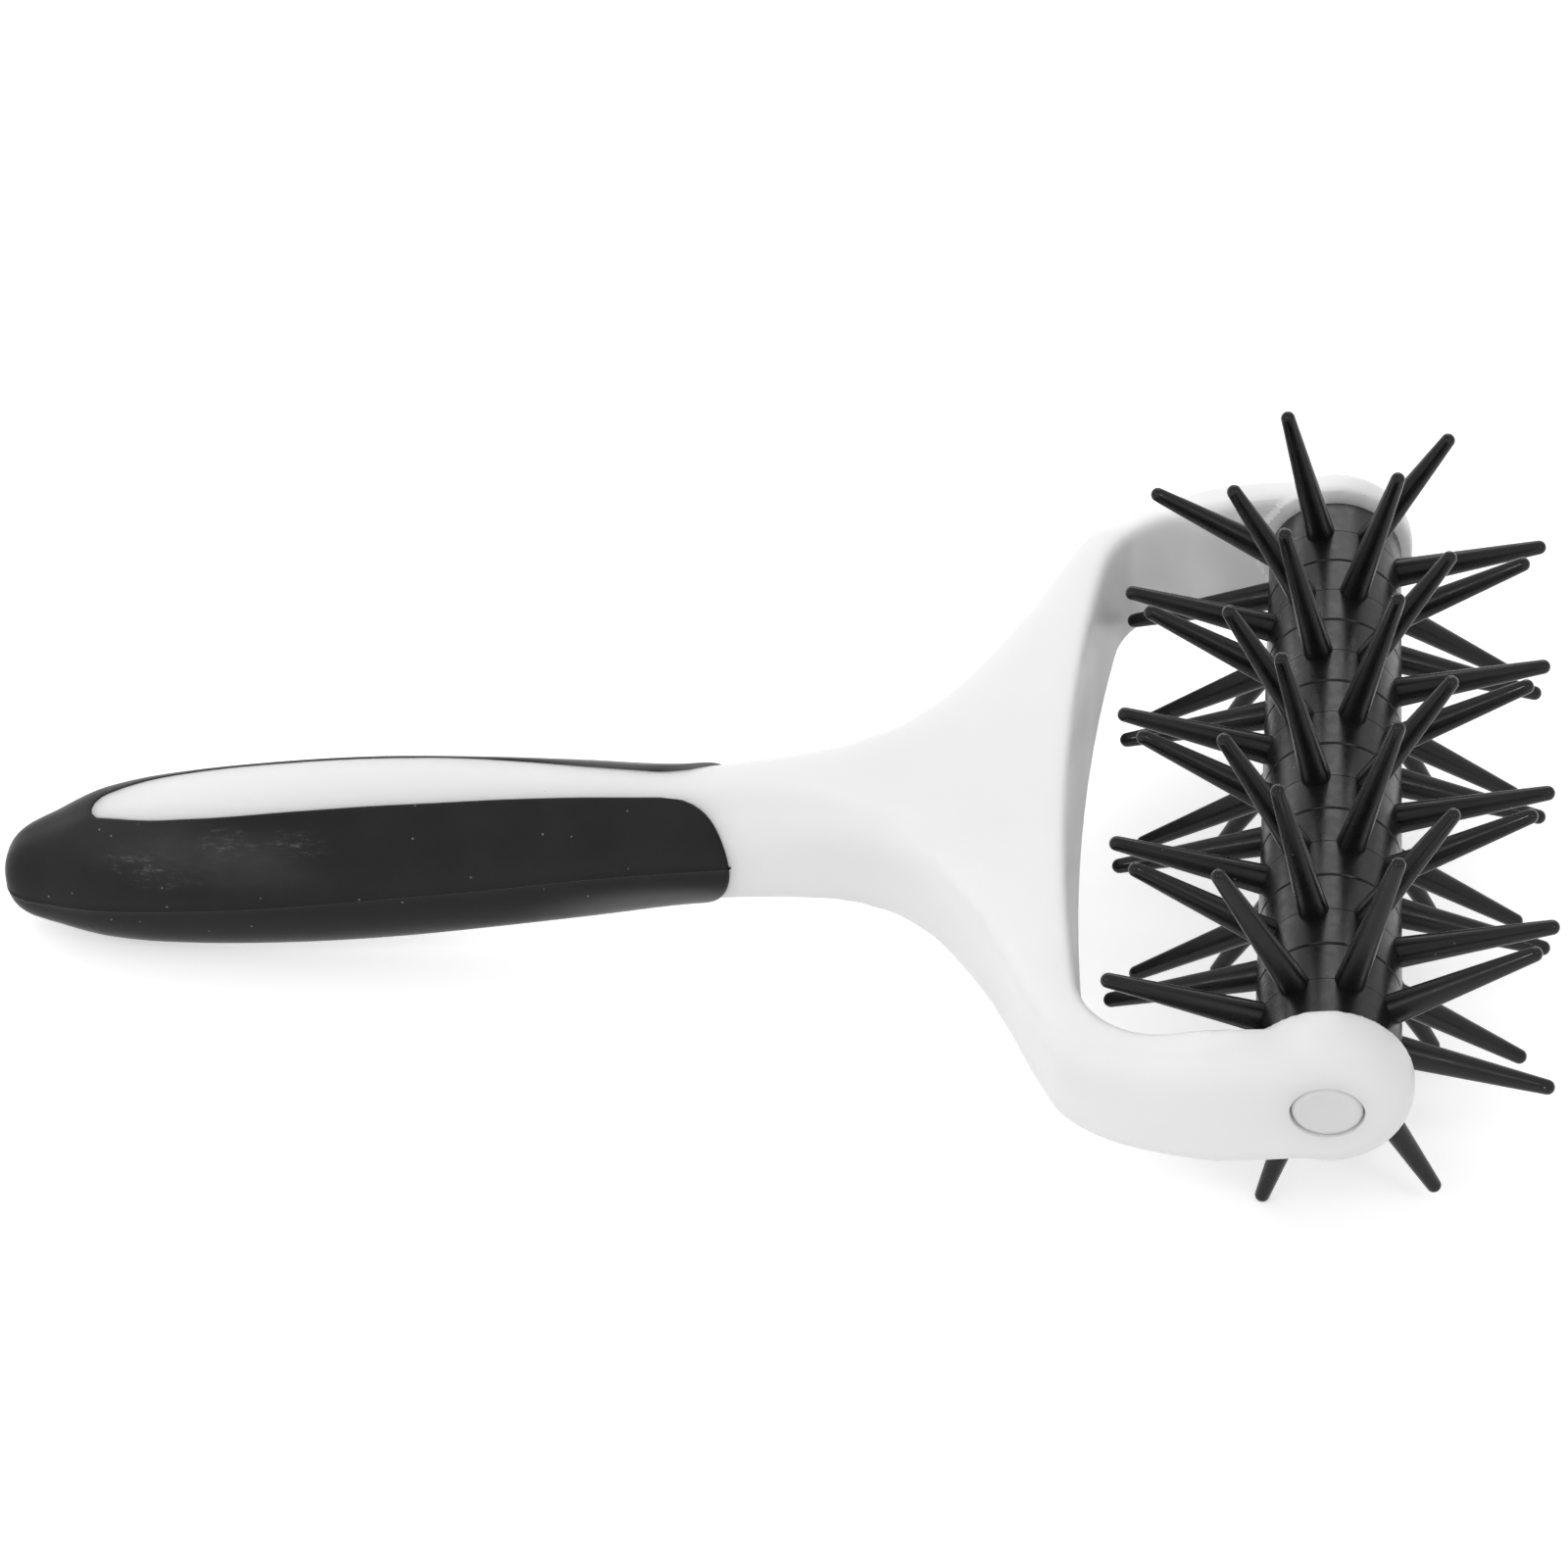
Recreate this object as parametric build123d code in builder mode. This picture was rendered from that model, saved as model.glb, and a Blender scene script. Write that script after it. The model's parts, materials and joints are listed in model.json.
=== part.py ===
from build123d import *
from math import asin, atan2, cos, hypot, radians, sin, tan
import os

os.makedirs("parts", exist_ok=True)

# Dough docker: a fork-shaped frame with a rubber-gripped handle, and a roller of eight
# spiked rings that turns on a fixed steel axle. Millimetres, +Z up. The tool stands as it
# lies on a worktop: on two rows of pins and on the underside of its handle. The handle
# points to -X, the roller's axle runs along Y, and the origin is on the worktop, under the
# middle of the whole tool.

# Spiked rings
pins_per_ring = 8
ring_count = 8
ring_width = 13.6
ring_gap = 0.16
barrel_radius = 9.3
rim_bevel = 0.2
pin_circle_radius = 29.0
pin_tip_radius = 1.0
pin_root_radius = 2.0
pin_sink = 1.5

# Hexagonal core that carries the rings and turns on two bushes
core_sides = 6
core_flats = 11.0
core_slip = 0.05
core_bore_radius = 3.1
bush_wall = 1.4
bush_length = 9.0
bush_press = 0.02
axle_run = 0.05

# Axle, washers and end caps
axle_radius = 2.5
axle_seat = 0.02
axle_end_bevel = 0.3
washer_radius = 7.0
washer_thickness = 0.55
end_play = 0.4
cap_radius = 4.6
cap_gap = 0.15
cap_depth = 2.4
cap_dish_depth = 0.45
cap_dish_radius = 3.0
cap_rim = 0.35
cap_edge = 0.25

# Fork
boss_radius = 10.9
boss_thickness = 7.4
boss_edge_radius = 5.4
boss_inner_edge = 0.9
arm_half_height = 8.4
outer_edge_radius = 3.3
inner_edge_radius = 1.4
crotch_depth = 34.4
crotch_bow = 4.7
crotch_corner_radius = 13.0
arm_straight = 13.5
web_length = 27.6
fork_root_half_width = 10.3
fork_root_angle = 25.5
root_lead = 4.0

# Handle and its soft grip
handle_reach = 183.4
grip_half_width = 12.15
grip_half_depth = 12.5
neck_half_width = 8.1
neck_half_depth = 9.2
grip_thickness = 2.6
grip_front = 81.3
grip_front_length = 7.4
grip_front_half_height = 9.3
core_end_clearance = 8.0
spine_end_clearance = 14.0
spine_half_width = 5.35
overrun = 30.0
surface_proud = 0.05

# The fork's outer edge from the straight of an arm to the neck, one side: share of
# fork_root behind the axle, and share of the arm's outer face across.
flank_share = [(0.327, 0.985), (0.468, 0.931), (0.561, 0.853), (0.608, 0.764),
               (0.702, 0.549), (0.795, 0.380), (0.889, 0.250)]

# The handle's stations are shares of its reach, and move along with the fork's root, which
# lies at this share of the reach as the tool is made.
root_share = 0.3380588876772083

# The grip's skin: share of handle_reach behind the axle, shares of the grip's half width
# and half depth there, and how far the section hangs below the handle's line, as a share
# of the half depth. The last stations round off the handle's end.
grip_share = [(0.436, 0.683, 0.784, 0.029), (0.480, 0.683, 0.788, 0.034),
              (0.552, 0.750, 0.878, 0.016), (0.627, 0.867, 0.947, 0.000),
              (0.701, 0.942, 1.000, -0.008), (0.791, 1.000, 0.988, -0.006),
              (0.853, 0.979, 0.931, -0.006), (0.900, 0.925, 0.833, -0.004),
              (0.929, 0.842, 0.735, 0.004), (0.943, 0.775, 0.661, 0.016),
              (0.960, 0.670, 0.573, 0.034), (0.973, 0.598, 0.510, 0.042),
              (0.986, 0.500, 0.424, 0.051), (0.994, 0.383, 0.322, 0.054),
              (0.998, 0.258, 0.220, 0.054), (1.000, 0.125, 0.106, 0.054)]
grip_round_share = 0.97

# The hard neck and spine in front of where they meet the grip's skin: share of
# handle_reach behind the axle, shares of the neck's half width and half depth, how far the
# section hangs, as a share of grip_half_depth, and how round it is.
neck_share = [(0.352, 1.160, 0.929, 0.000, 0.49), (0.368, 1.086, 0.946, 0.002, 0.58),
              (0.387, 1.037, 0.970, 0.006, 0.69), (0.412, 1.006, 0.991, 0.012, 0.82),
              (0.436, 1.000, 1.000, 0.022, 0.90), (0.458, 0.970, 0.989, 0.031, 0.91),
              (0.483, 0.970, 0.980, 0.034, 0.92), (0.518, 1.015, 1.050, 0.027, 0.93),
              (0.552, 1.090, 1.125, 0.016, 0.94), (0.589, 1.185, 1.210, 0.006, 0.95)]
spine_from_share = 0.62

# The white spine that shows between the two sides of the grip: share of spine_end behind
# the axle, and share of the spine's half width.
spine_share = [(0.480, 0.58), (0.525, 0.60), (0.590, 0.69), (0.661, 0.80), (0.744, 0.94),
               (0.832, 1.00), (0.909, 0.96), (0.959, 0.77), (0.986, 0.50)]

# Sizes worked out from those above
pin_step = 360 / pins_per_ring
flat_step = 360 / core_sides
pin_lean = flat_step % pin_step
stack_length = ring_count * ring_width + (ring_count - 1) * ring_gap
boss_inner = stack_length / 2 + end_play + washer_thickness
boss_outer = boss_inner + boss_thickness
arm_outer = boss_outer - surface_proud
fork_root = crotch_depth + web_length
spine_end = handle_reach - spine_end_clearance
axle_height = pin_circle_radius * cos(radians(pin_lean)) + pin_tip_radius
bush_bore_radius = axle_radius + axle_run
bush_radius = bush_bore_radius + bush_wall


def station(along):
    """Distance behind the axle of a share of the handle's reach."""
    root_shift = fork_root - root_share * handle_reach
    return along * handle_reach + root_shift * (1 - along) / (1 - root_share)


def rest_tilt():
    """How far the handle drops from level before its underside meets the worktop."""
    tilts = []
    for along, across, deep, hang in grip_share:
        behind = station(along)
        below = (deep + hang) * grip_half_depth
        tilts.append(asin(axle_height / hypot(behind, below)) - atan2(below, behind))
    return min(tilts)


tilt = rest_tilt()
axle_x = (handle_reach * cos(tilt) - axle_height) / 2
axle_centre = Vector(axle_x, 0, axle_height)
axle_line = Axis(axle_centre, (0, 1, 0))
forward = Vector(cos(tilt), 0, sin(tilt))
upward = Vector(-sin(tilt), 0, cos(tilt))

# The tool's own plane: x forward along the handle, y along the axle, z out of the top
tool = Plane(origin=axle_centre, x_dir=forward, z_dir=upward)
# Radius across and axle along, for everything turned about the axle
turning = Plane(origin=axle_centre, x_dir=(1, 0, 0), z_dir=(0, 0, 1))


def axle_plane(along):
    """Plane square to the axle, seen from the near side, at a place along it."""
    return Plane(origin=axle_centre + Vector(0, along, 0), x_dir=(1, 0, 0), z_dir=(0, -1, 0))


def handle_plane(behind):
    """Plane square to the handle, at a distance behind the axle."""
    return Plane(origin=axle_centre - forward * behind, x_dir=(0, 1, 0), z_dir=-forward)


def side_plane():
    """The tool's upright middle plane, x pointing back along the handle and y up."""
    return Plane(origin=axle_centre, x_dir=-forward, z_dir=(0, 1, 0))


def rounded_section(half_width, half_depth, hang, round_share):
    """One section of the handle, drawn on the sketch that is open. Its y points down."""
    corner = round_share * min(half_width, half_depth)
    with Locations((0, hang)):
        RectangleRounded(2 * half_width, 2 * half_depth, corner)


def rim_edges(body):
    """Edges along the rims of the fork's top and bottom faces, but not those across its
    square front and back ends."""
    chosen = []
    for rim in body.edges():
        ends = [tool.to_local_coords(vertex.center()) for vertex in rim.vertices()]
        heights = [abs(place.Z) for place in ends + [tool.to_local_coords(rim.center())]]
        level = all(abs(height - arm_half_height) < surface_proud for height in heights)
        across = abs(ends[0].X - ends[-1].X) < surface_proud and abs(ends[0].X) > crotch_depth
        at_front = all(abs(end.X) < surface_proud for end in ends)
        if level and not across and not at_front:
            chosen.append(rim)
    return chosen


def finish(part, name):
    """Label a finished piece and write its file."""
    part.label = name
    export_step(part, f"parts/{name}.step")


# Core under the grip: the grip's skin drawn in by the grip's thickness
core_reach_share = 1 - core_end_clearance / handle_reach
with BuildPart() as grip_core:
    for along, across, deep, hang in grip_share:
        if along < core_reach_share:
            with BuildSketch(handle_plane(station(along))):
                rounded_section(across * grip_half_width - grip_thickness,
                                deep * grip_half_depth - grip_thickness,
                                hang * grip_half_depth, grip_round_share)
    loft()

front_hang = grip_share[0][-1] * grip_half_depth
# Room that the grip takes: everything behind its rounded front end, less the spine that
# shows through it above and below, and less the core
with BuildPart() as grip_room:
    with BuildSketch(side_plane()):
        with Locations((grip_front + grip_front_length, -front_hang)):
            Ellipse(grip_front_length, grip_front_half_height)
            Rectangle(handle_reach, 2 * overrun, align=(Align.MIN, Align.CENTER))
    extrude(amount=overrun, both=True)
    with BuildSketch(tool):
        with BuildLine():
            far_edge = [(-along * spine_end, across * spine_half_width)
                        for along, across in spine_share]
            near_edge = [(x, -y) for x, y in reversed(far_edge)]
            front_x, front_y = overrun - grip_front, far_edge[0][1]
            Spline(*far_edge, (-spine_end, 0), *near_edge, tangents=[(-1, 0), (1, 0)])
            Polyline(near_edge[-1], (front_x, -front_y), (front_x, front_y), far_edge[0])
        make_face()
    extrude(amount=overrun, both=True, mode=Mode.SUBTRACT)
    add(grip_core.part, mode=Mode.SUBTRACT)

# Rubber grip
with BuildPart() as grip_overmould:
    for along, across, deep, hang in grip_share:
        with BuildSketch(handle_plane(station(along))):
            rounded_section(across * grip_half_width, deep * grip_half_depth,
                            hang * grip_half_depth, grip_round_share)
    loft()
    add(grip_room.part, mode=Mode.INTERSECT)
finish(grip_overmould.part, "grip_overmould")

# Hard handle: neck, spine and the core under the grip
with BuildPart() as handle_core:
    with BuildSketch(handle_plane(fork_root - root_lead)):
        lead_half_width = fork_root_half_width + root_lead * tan(radians(fork_root_angle))
        rounded_section(lead_half_width - surface_proud, arm_half_height - surface_proud,
                        0, outer_edge_radius / arm_half_height)
    with BuildSketch(handle_plane(fork_root)):
        rounded_section(fork_root_half_width + surface_proud, arm_half_height + surface_proud,
                        0, outer_edge_radius / arm_half_height)
    for along, across, deep, hang, round_share in neck_share:
        with BuildSketch(handle_plane(station(along))):
            rounded_section(across * neck_half_width, deep * neck_half_depth,
                            hang * grip_half_depth, round_share)
    for along, across, deep, hang in grip_share:
        if spine_from_share < along < core_reach_share:
            with BuildSketch(handle_plane(station(along))):
                rounded_section(across * grip_half_width, deep * grip_half_depth,
                                hang * grip_half_depth, grip_round_share)
    loft()
    add(grip_room.part, mode=Mode.SUBTRACT)
    add(grip_core.part)

# Frame in one moulding: the flared fork, its two arms and bosses, and the handle's core
with BuildPart() as yoke_frame:
    with BuildSketch(tool):
        with BuildLine():
            flank = [(-along * fork_root, across * arm_outer) for along, across in flank_share]
            root_turn = radians(fork_root_angle)
            Spline((-arm_straight, arm_outer), *flank, (-fork_root, fork_root_half_width),
                   tangents=[(-1, 0), (-cos(root_turn), -sin(root_turn))])
            Polyline((-fork_root, fork_root_half_width), (-fork_root, 0), (0, 0),
                     (0, arm_outer), (-arm_straight, arm_outer))
        make_face()
        mirror(about=Plane.XZ)
    extrude(amount=arm_half_height, both=True)
    fillet(rim_edges(yoke_frame), outer_edge_radius)
    with BuildSketch(tool):
        with BuildLine():
            crotch_end = crotch_bow - crotch_depth
            ThreePointArc((crotch_end, -boss_inner), (-crotch_depth, 0), (crotch_end, boss_inner))
            Polyline((crotch_end, boss_inner), (overrun, boss_inner), (overrun, -boss_inner),
                     (crotch_end, -boss_inner))
        fork_gap = make_face()
        corners = fork_gap.vertices().filter_by(lambda corner: corner.X < 0)
        fillet(corners, crotch_corner_radius)
    extrude(amount=overrun, both=True, mode=Mode.SUBTRACT)
    inside = [rim for rim in rim_edges(yoke_frame)
              if abs(tool.to_local_coords(rim.center()).Y) < boss_inner + surface_proud]
    fillet(inside, inner_edge_radius)
    for side in (-1, 1):
        with BuildSketch(turning):
            with BuildLine():
                Polyline((0, side * boss_inner), (boss_radius, side * boss_inner),
                         (boss_radius, side * boss_outer), (0, side * boss_outer),
                         (0, side * boss_inner))
            boss_face = make_face()
            rims = boss_face.vertices().group_by(Axis.X)[-1].sort_by(Axis.Y)
            inner_rim, outer_rim = (rims[0], rims[-1]) if side > 0 else (rims[-1], rims[0])
            fillet(outer_rim, boss_edge_radius)
            fillet(inner_rim, boss_inner_edge)
        revolve(axis=axle_line)
    add(handle_core.part)
    with BuildSketch(axle_plane(0)):
        Circle(axle_radius + axle_seat)
    extrude(amount=boss_outer + overrun, both=True, mode=Mode.SUBTRACT)
    for side in (-1, 1):
        with BuildSketch(axle_plane(side * (boss_outer - cap_depth))):
            Circle(cap_radius + cap_gap)
        extrude(amount=-side * (cap_depth + overrun), mode=Mode.SUBTRACT)
finish(yoke_frame.part, "yoke_frame")

# Steel axle, held in the two bosses
axle_length = 2 * (boss_outer - cap_depth)
with BuildPart() as axle_shaft:
    with BuildSketch(axle_plane(0)):
        Circle(axle_radius)
    extrude(amount=axle_length / 2, both=True)
    chamfer(axle_shaft.edges().filter_by(GeomType.CIRCLE), axle_end_bevel)
finish(axle_shaft.part, "axle_shaft")

# Hexagonal core, bored wide at each end for a bush
with BuildPart() as roller_core:
    with BuildSketch(axle_plane(0)):
        RegularPolygon(core_flats / 2, core_sides, major_radius=False)
        Circle(core_bore_radius, mode=Mode.SUBTRACT)
    extrude(amount=stack_length / 2, both=True)
    for side in (-1, 1):
        with BuildSketch(axle_plane(side * (stack_length / 2 - bush_length))):
            Circle(bush_radius + bush_press)
        extrude(amount=-side * (bush_length + overrun), mode=Mode.SUBTRACT)
finish(roller_core.part, "roller_core")

# What sits at each end of the axle, near side and far side
for side, place in ((-1, "near"), (1, "far")):
    with BuildPart() as bush:
        with BuildSketch(axle_plane(side * stack_length / 2)):
            Circle(bush_radius)
            Circle(bush_bore_radius, mode=Mode.SUBTRACT)
        extrude(amount=side * bush_length)
    finish(bush.part, f"bush_{place}")

    with BuildPart() as washer:
        with BuildSketch(axle_plane(side * boss_inner)):
            Circle(washer_radius)
            Circle(bush_bore_radius, mode=Mode.SUBTRACT)
        extrude(amount=side * washer_thickness)
    finish(washer.part, f"washer_{place}")

    # Cap: a plug with a flat dished face, its rim level with the boss
    with BuildPart() as cap:
        with BuildSketch(turning):
            floor = boss_outer - cap_depth
            with BuildLine():
                Polyline((0, side * floor), (cap_radius, side * floor),
                         (cap_radius, side * (boss_outer - cap_edge)),
                         (cap_radius - cap_edge, side * boss_outer),
                         (cap_radius - cap_edge - cap_rim, side * boss_outer),
                         (cap_dish_radius, side * (boss_outer - cap_dish_depth)),
                         (0, side * (boss_outer - cap_dish_depth)), (0, side * floor))
            make_face()
        revolve(axis=axle_line)
    finish(cap.part, f"axle_cap_{place}")

# Spiked rings, number 1 on the far side. Even rings are turned by one flat of the core.
pin_slope = (pin_root_radius - pin_tip_radius) / (pin_circle_radius - barrel_radius)
pin_start = barrel_radius - pin_sink
pin_start_radius = pin_root_radius + pin_slope * pin_sink
for number in range(1, ring_count + 1):
    middle = stack_length / 2 - ring_width / 2 - (number - 1) * (ring_width + ring_gap)
    lean = pin_lean if number % 2 else -pin_lean
    centre = axle_centre + Vector(0, middle, 0)
    ways = []
    for count in range(pins_per_ring):
        turn = radians(lean - 90 + count * pin_step)
        ways.append(Vector(cos(turn), 0, sin(turn)))
    with BuildPart() as spike_ring:
        with BuildSketch(axle_plane(middle)):
            Circle(barrel_radius)
        extrude(amount=ring_width / 2, both=True)
        chamfer(spike_ring.edges().filter_by(GeomType.CIRCLE), rim_bevel)
        with Locations(*[Plane(origin=centre + way * pin_start, x_dir=(0, 1, 0), z_dir=way)
                         for way in ways]):
            Cone(pin_start_radius, pin_tip_radius, pin_circle_radius - pin_start,
                 align=(Align.CENTER, Align.CENTER, Align.MIN))
        with Locations(*[centre + way * pin_circle_radius for way in ways]):
            Sphere(pin_tip_radius)
        with BuildSketch(axle_plane(middle)):
            RegularPolygon(core_flats / 2 + core_slip, core_sides, major_radius=False)
        extrude(amount=ring_width, both=True, mode=Mode.SUBTRACT)
    finish(spike_ring.part, f"spike_ring_{number}")
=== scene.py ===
"""A dough docker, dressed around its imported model.

The frame gives the places of the axle, the handle's lean and every piece. Each class below
models one sub-assembly in the tool's own axes, in millimetres, and then sets it down in the
row frame, in metres: x forward along the handle, y along the axle, z out of the top.
"""
import json
import logging
import math
from contextlib import contextmanager
from dataclasses import dataclass
from enum import Enum
from typing import Callable, Iterator, Sequence

import bmesh
import bpy
from mathutils import Euler, Matrix, Vector


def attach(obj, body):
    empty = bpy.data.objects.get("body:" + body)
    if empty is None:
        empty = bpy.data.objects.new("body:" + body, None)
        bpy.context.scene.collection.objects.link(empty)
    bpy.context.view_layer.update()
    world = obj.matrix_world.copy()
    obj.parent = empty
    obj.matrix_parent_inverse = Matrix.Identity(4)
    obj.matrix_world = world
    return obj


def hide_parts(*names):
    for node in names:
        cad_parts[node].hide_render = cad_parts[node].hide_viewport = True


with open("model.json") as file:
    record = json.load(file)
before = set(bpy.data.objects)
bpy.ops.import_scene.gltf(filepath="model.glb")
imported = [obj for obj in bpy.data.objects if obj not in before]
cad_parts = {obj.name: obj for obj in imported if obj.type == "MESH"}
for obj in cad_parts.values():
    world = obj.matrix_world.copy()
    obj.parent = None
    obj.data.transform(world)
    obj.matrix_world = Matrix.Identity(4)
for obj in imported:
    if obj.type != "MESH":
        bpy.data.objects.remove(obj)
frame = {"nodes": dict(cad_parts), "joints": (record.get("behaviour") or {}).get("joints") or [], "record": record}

log = logging.getLogger("docker")

MM = 0.001
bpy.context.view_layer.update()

Test = Callable[[Vector], bool]
Point = tuple[float, float, float]
Plan = tuple[float, float]


class Side(Enum):
    """The two sides of the tool, by the sign of y."""

    NEAR = -1
    FAR = 1


class Body(Enum):
    """The two bodies that the tool moves as."""

    FORK = "fork"
    ROLLER = "roller"


# Curves through given stations


class Curve:
    """A smooth line through a few stations, one value or more at each place."""

    def __init__(self, stations: Sequence[Sequence[float]]) -> None:
        """Keep the stations in order of their place.

        Args:
            stations: rows of a place followed by the values there.
        """
        self.rows = sorted(tuple(row) for row in stations)

    def at(self, place: float) -> tuple[float, ...]:
        """Values at a place, by cubic pieces whose slopes come from the neighbours.

        Args:
            place: where along the curve.

        Returns:
            The values there, and those of the nearest end beyond the ends.
        """
        rows = self.rows
        if place <= rows[0][0]:
            return rows[0][1:]
        if place >= rows[-1][0]:
            return rows[-1][1:]
        here = next(k for k in range(1, len(rows)) if rows[k][0] >= place)
        left, right = rows[here - 1], rows[here]
        span = right[0] - left[0]
        share = (place - left[0]) / span
        values = []
        for k in range(1, len(left)):
            rise_left = self.slope(here - 1, k) * span
            rise_right = self.slope(here, k) * span
            values.append((2 * share**3 - 3 * share**2 + 1) * left[k]
                          + (share**3 - 2 * share**2 + share) * rise_left
                          + (3 * share**2 - 2 * share**3) * right[k]
                          + (share**3 - share**2) * rise_right)
        return tuple(values)

    def slope(self, row: int, value: int) -> float:
        """Slope of one value at a station, from the stretches on both sides of it."""
        rows = self.rows
        steps = []
        for k in (row, row + 1):
            if 0 < k < len(rows):
                run = rows[k][0] - rows[k - 1][0]
                steps.append(((rows[k][value] - rows[k - 1][value]) / run, run))
        if len(steps) == 1:
            return steps[0][0]
        (before, run_before), (after, run_after) = steps
        return (before * run_after + after * run_before) / (run_before + run_after)


def spread(first: float, last: float, count: int) -> list[float]:
    """Evenly spaced values from first to last, both included."""
    return [first + (last - first) * k / (count - 1) for k in range(count)]


def blend(first: float, last: float, share: float) -> float:
    """Value a share of the way from first to last."""
    return first + (last - first) * share


def eased(share: float) -> float:
    """A share from 0 to 1 that starts and ends gently."""
    share = min(1.0, max(0.0, share))
    return share * share * (3 - 2 * share)


# The bench: how a piece is begun, shaped and finished


@dataclass(frozen=True)
class ToolSpace:
    """The tool's own axes in the row frame."""

    centre: Vector
    lean: float

    @classmethod
    def from_frame(cls) -> "ToolSpace":
        """Read the axle's place from the joint and the handle's lean from its mount."""
        joint = frame["joints"][0]
        along = frame["record"]["mounts"][0]["axis"]
        return cls(Vector(joint["pos_m"]), math.atan2(-along[2], -along[0]))

    def matrix(self) -> Matrix:
        """From the tool's axes in millimetres to the row frame in metres."""
        turn = Matrix.Rotation(-self.lean, 4, "Y")
        return Matrix.Translation(self.centre) @ turn @ Matrix.Scale(MM, 4)

    def upright(self) -> Matrix:
        """From axes that stand square on the worktop at the axle, in millimetres."""
        return Matrix.Translation(self.centre) @ Matrix.Scale(MM, 4)

    def place(self, point: Point) -> Vector:
        """A point of the tool in the row frame."""
        return self.matrix() @ Vector(point)


class Bench:
    """Begins, shapes and finishes pieces with Blender's own operators."""

    @staticmethod
    def clear() -> None:
        """Deselect everything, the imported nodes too."""
        if bpy.context.object and bpy.context.object.mode != "OBJECT":
            bpy.ops.object.mode_set(mode="OBJECT")
        bpy.ops.object.select_all(action="DESELECT")

    @staticmethod
    def select(*pieces: bpy.types.Object) -> None:
        """Select these pieces alone; the last becomes the active one."""
        Bench.clear()
        for piece in pieces:
            piece.select_set(True)
            bpy.context.view_layer.objects.active = piece

    @staticmethod
    def named(name: str) -> bpy.types.Object:
        """Name the piece that was just added, and its mesh."""
        piece = bpy.context.object
        piece.name = name
        piece.data.name = name
        return piece

    @staticmethod
    @contextmanager
    def editing(piece: bpy.types.Object) -> Iterator[bmesh.types.BMesh]:
        """Edit mode on one piece, with nothing selected at first."""
        Bench.select(piece)
        bpy.ops.object.mode_set(mode="EDIT")
        bpy.ops.mesh.select_mode(type="VERT")
        bpy.ops.mesh.select_all(action="DESELECT")
        yield bmesh.from_edit_mesh(piece.data)
        bpy.ops.object.mode_set(mode="OBJECT")

    @staticmethod
    def pick(mesh: bmesh.types.BMesh, test: Test) -> int:
        """Select the vertices whose place passes a test, and what lies between them.

        Args:
            mesh: the edited mesh.
            test: says whether a vertex at that place is wanted.

        Returns:
            How many vertices were picked.
        """
        for vert in mesh.verts:
            vert.select = test(vert.co)
        mesh.select_flush_mode()
        mesh.select_flush(True)
        return sum(vert.select for vert in mesh.verts)

    @staticmethod
    def sheet(name: str, rows: list[list[Point]]) -> bpy.types.Object:
        """A grid primitive whose vertices are drawn out to rows of points.

        Args:
            name: the new piece's name.
            rows: one list of points for each row, all as long as the first.

        Returns:
            The shaped sheet.
        """
        Bench.clear()
        bpy.ops.mesh.primitive_grid_add(x_subdivisions=len(rows[0]) - 1,
                                        y_subdivisions=len(rows) - 1, size=1)
        piece = Bench.named(name)
        with Bench.editing(piece) as mesh:
            mesh.verts.ensure_lookup_table()
            across = len(rows[0])
            for number, vert in enumerate(mesh.verts):
                vert.co = rows[number // across][number % across]
            bpy.ops.mesh.select_all(action="SELECT")
            bpy.ops.mesh.remove_doubles(threshold=0.001)
        return piece

    @staticmethod
    def chain(name: str, points: Sequence[Point]) -> bpy.types.Object:
        """A line of edges, one vertex extruded from point to point."""
        Bench.clear()
        bpy.ops.mesh.primitive_plane_add(size=0.01, location=points[0])
        piece = Bench.named(name)
        Bench.settle(piece)
        with Bench.editing(piece):
            bpy.ops.mesh.select_all(action="SELECT")
            bpy.ops.mesh.merge(type="CENTER")
            for before, after in zip(points, points[1:]):
                step = Vector(after) - Vector(before)
                bpy.ops.mesh.extrude_region_move(TRANSFORM_OT_translate={"value": step})
        return piece

    @staticmethod
    def lathe(name: str, profile: Sequence[Point], steps: int,
              axis: Point = (0, 1, 0)) -> bpy.types.Object:
        """A profile spun all the way round an axis through the origin.

        Args:
            name: the new piece's name.
            profile: points of the line that is spun.
            steps: how many faces go round.
            axis: direction that it is spun about.

        Returns:
            The turned piece, closed where the profile meets the axis.
        """
        piece = Bench.chain(name, profile)
        with Bench.editing(piece):
            bpy.ops.mesh.select_all(action="SELECT")
            bpy.ops.mesh.spin(steps=steps, angle=2 * math.pi, center=(0, 0, 0), axis=axis)
            bpy.ops.mesh.select_all(action="SELECT")
            bpy.ops.mesh.remove_doubles(threshold=0.002)
            bpy.ops.mesh.normals_make_consistent(inside=False)
        return piece

    @staticmethod
    def join(name: str, *pieces: bpy.types.Object) -> bpy.types.Object:
        """Join pieces into one and merge the vertices that meet."""
        Bench.select(*pieces)
        bpy.ops.object.join()
        piece = Bench.named(name)
        with Bench.editing(piece):
            bpy.ops.mesh.select_all(action="SELECT")
            bpy.ops.mesh.remove_doubles(threshold=0.002)
            bpy.ops.mesh.normals_make_consistent(inside=False)
        return piece

    @staticmethod
    def copy(piece: bpy.types.Object, name: str) -> bpy.types.Object:
        """A copy of a piece with a mesh of its own."""
        Bench.select(piece)
        bpy.ops.object.duplicate(linked=False)
        return Bench.named(name)

    @staticmethod
    def turn(piece: bpy.types.Object, angle: float, axis: str = "Y") -> None:
        """Turn a piece about a line through the origin and keep the turn in its mesh."""
        piece.rotation_euler = Euler([angle if letter == axis else 0 for letter in "XYZ"])
        Bench.settle(piece)

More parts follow.
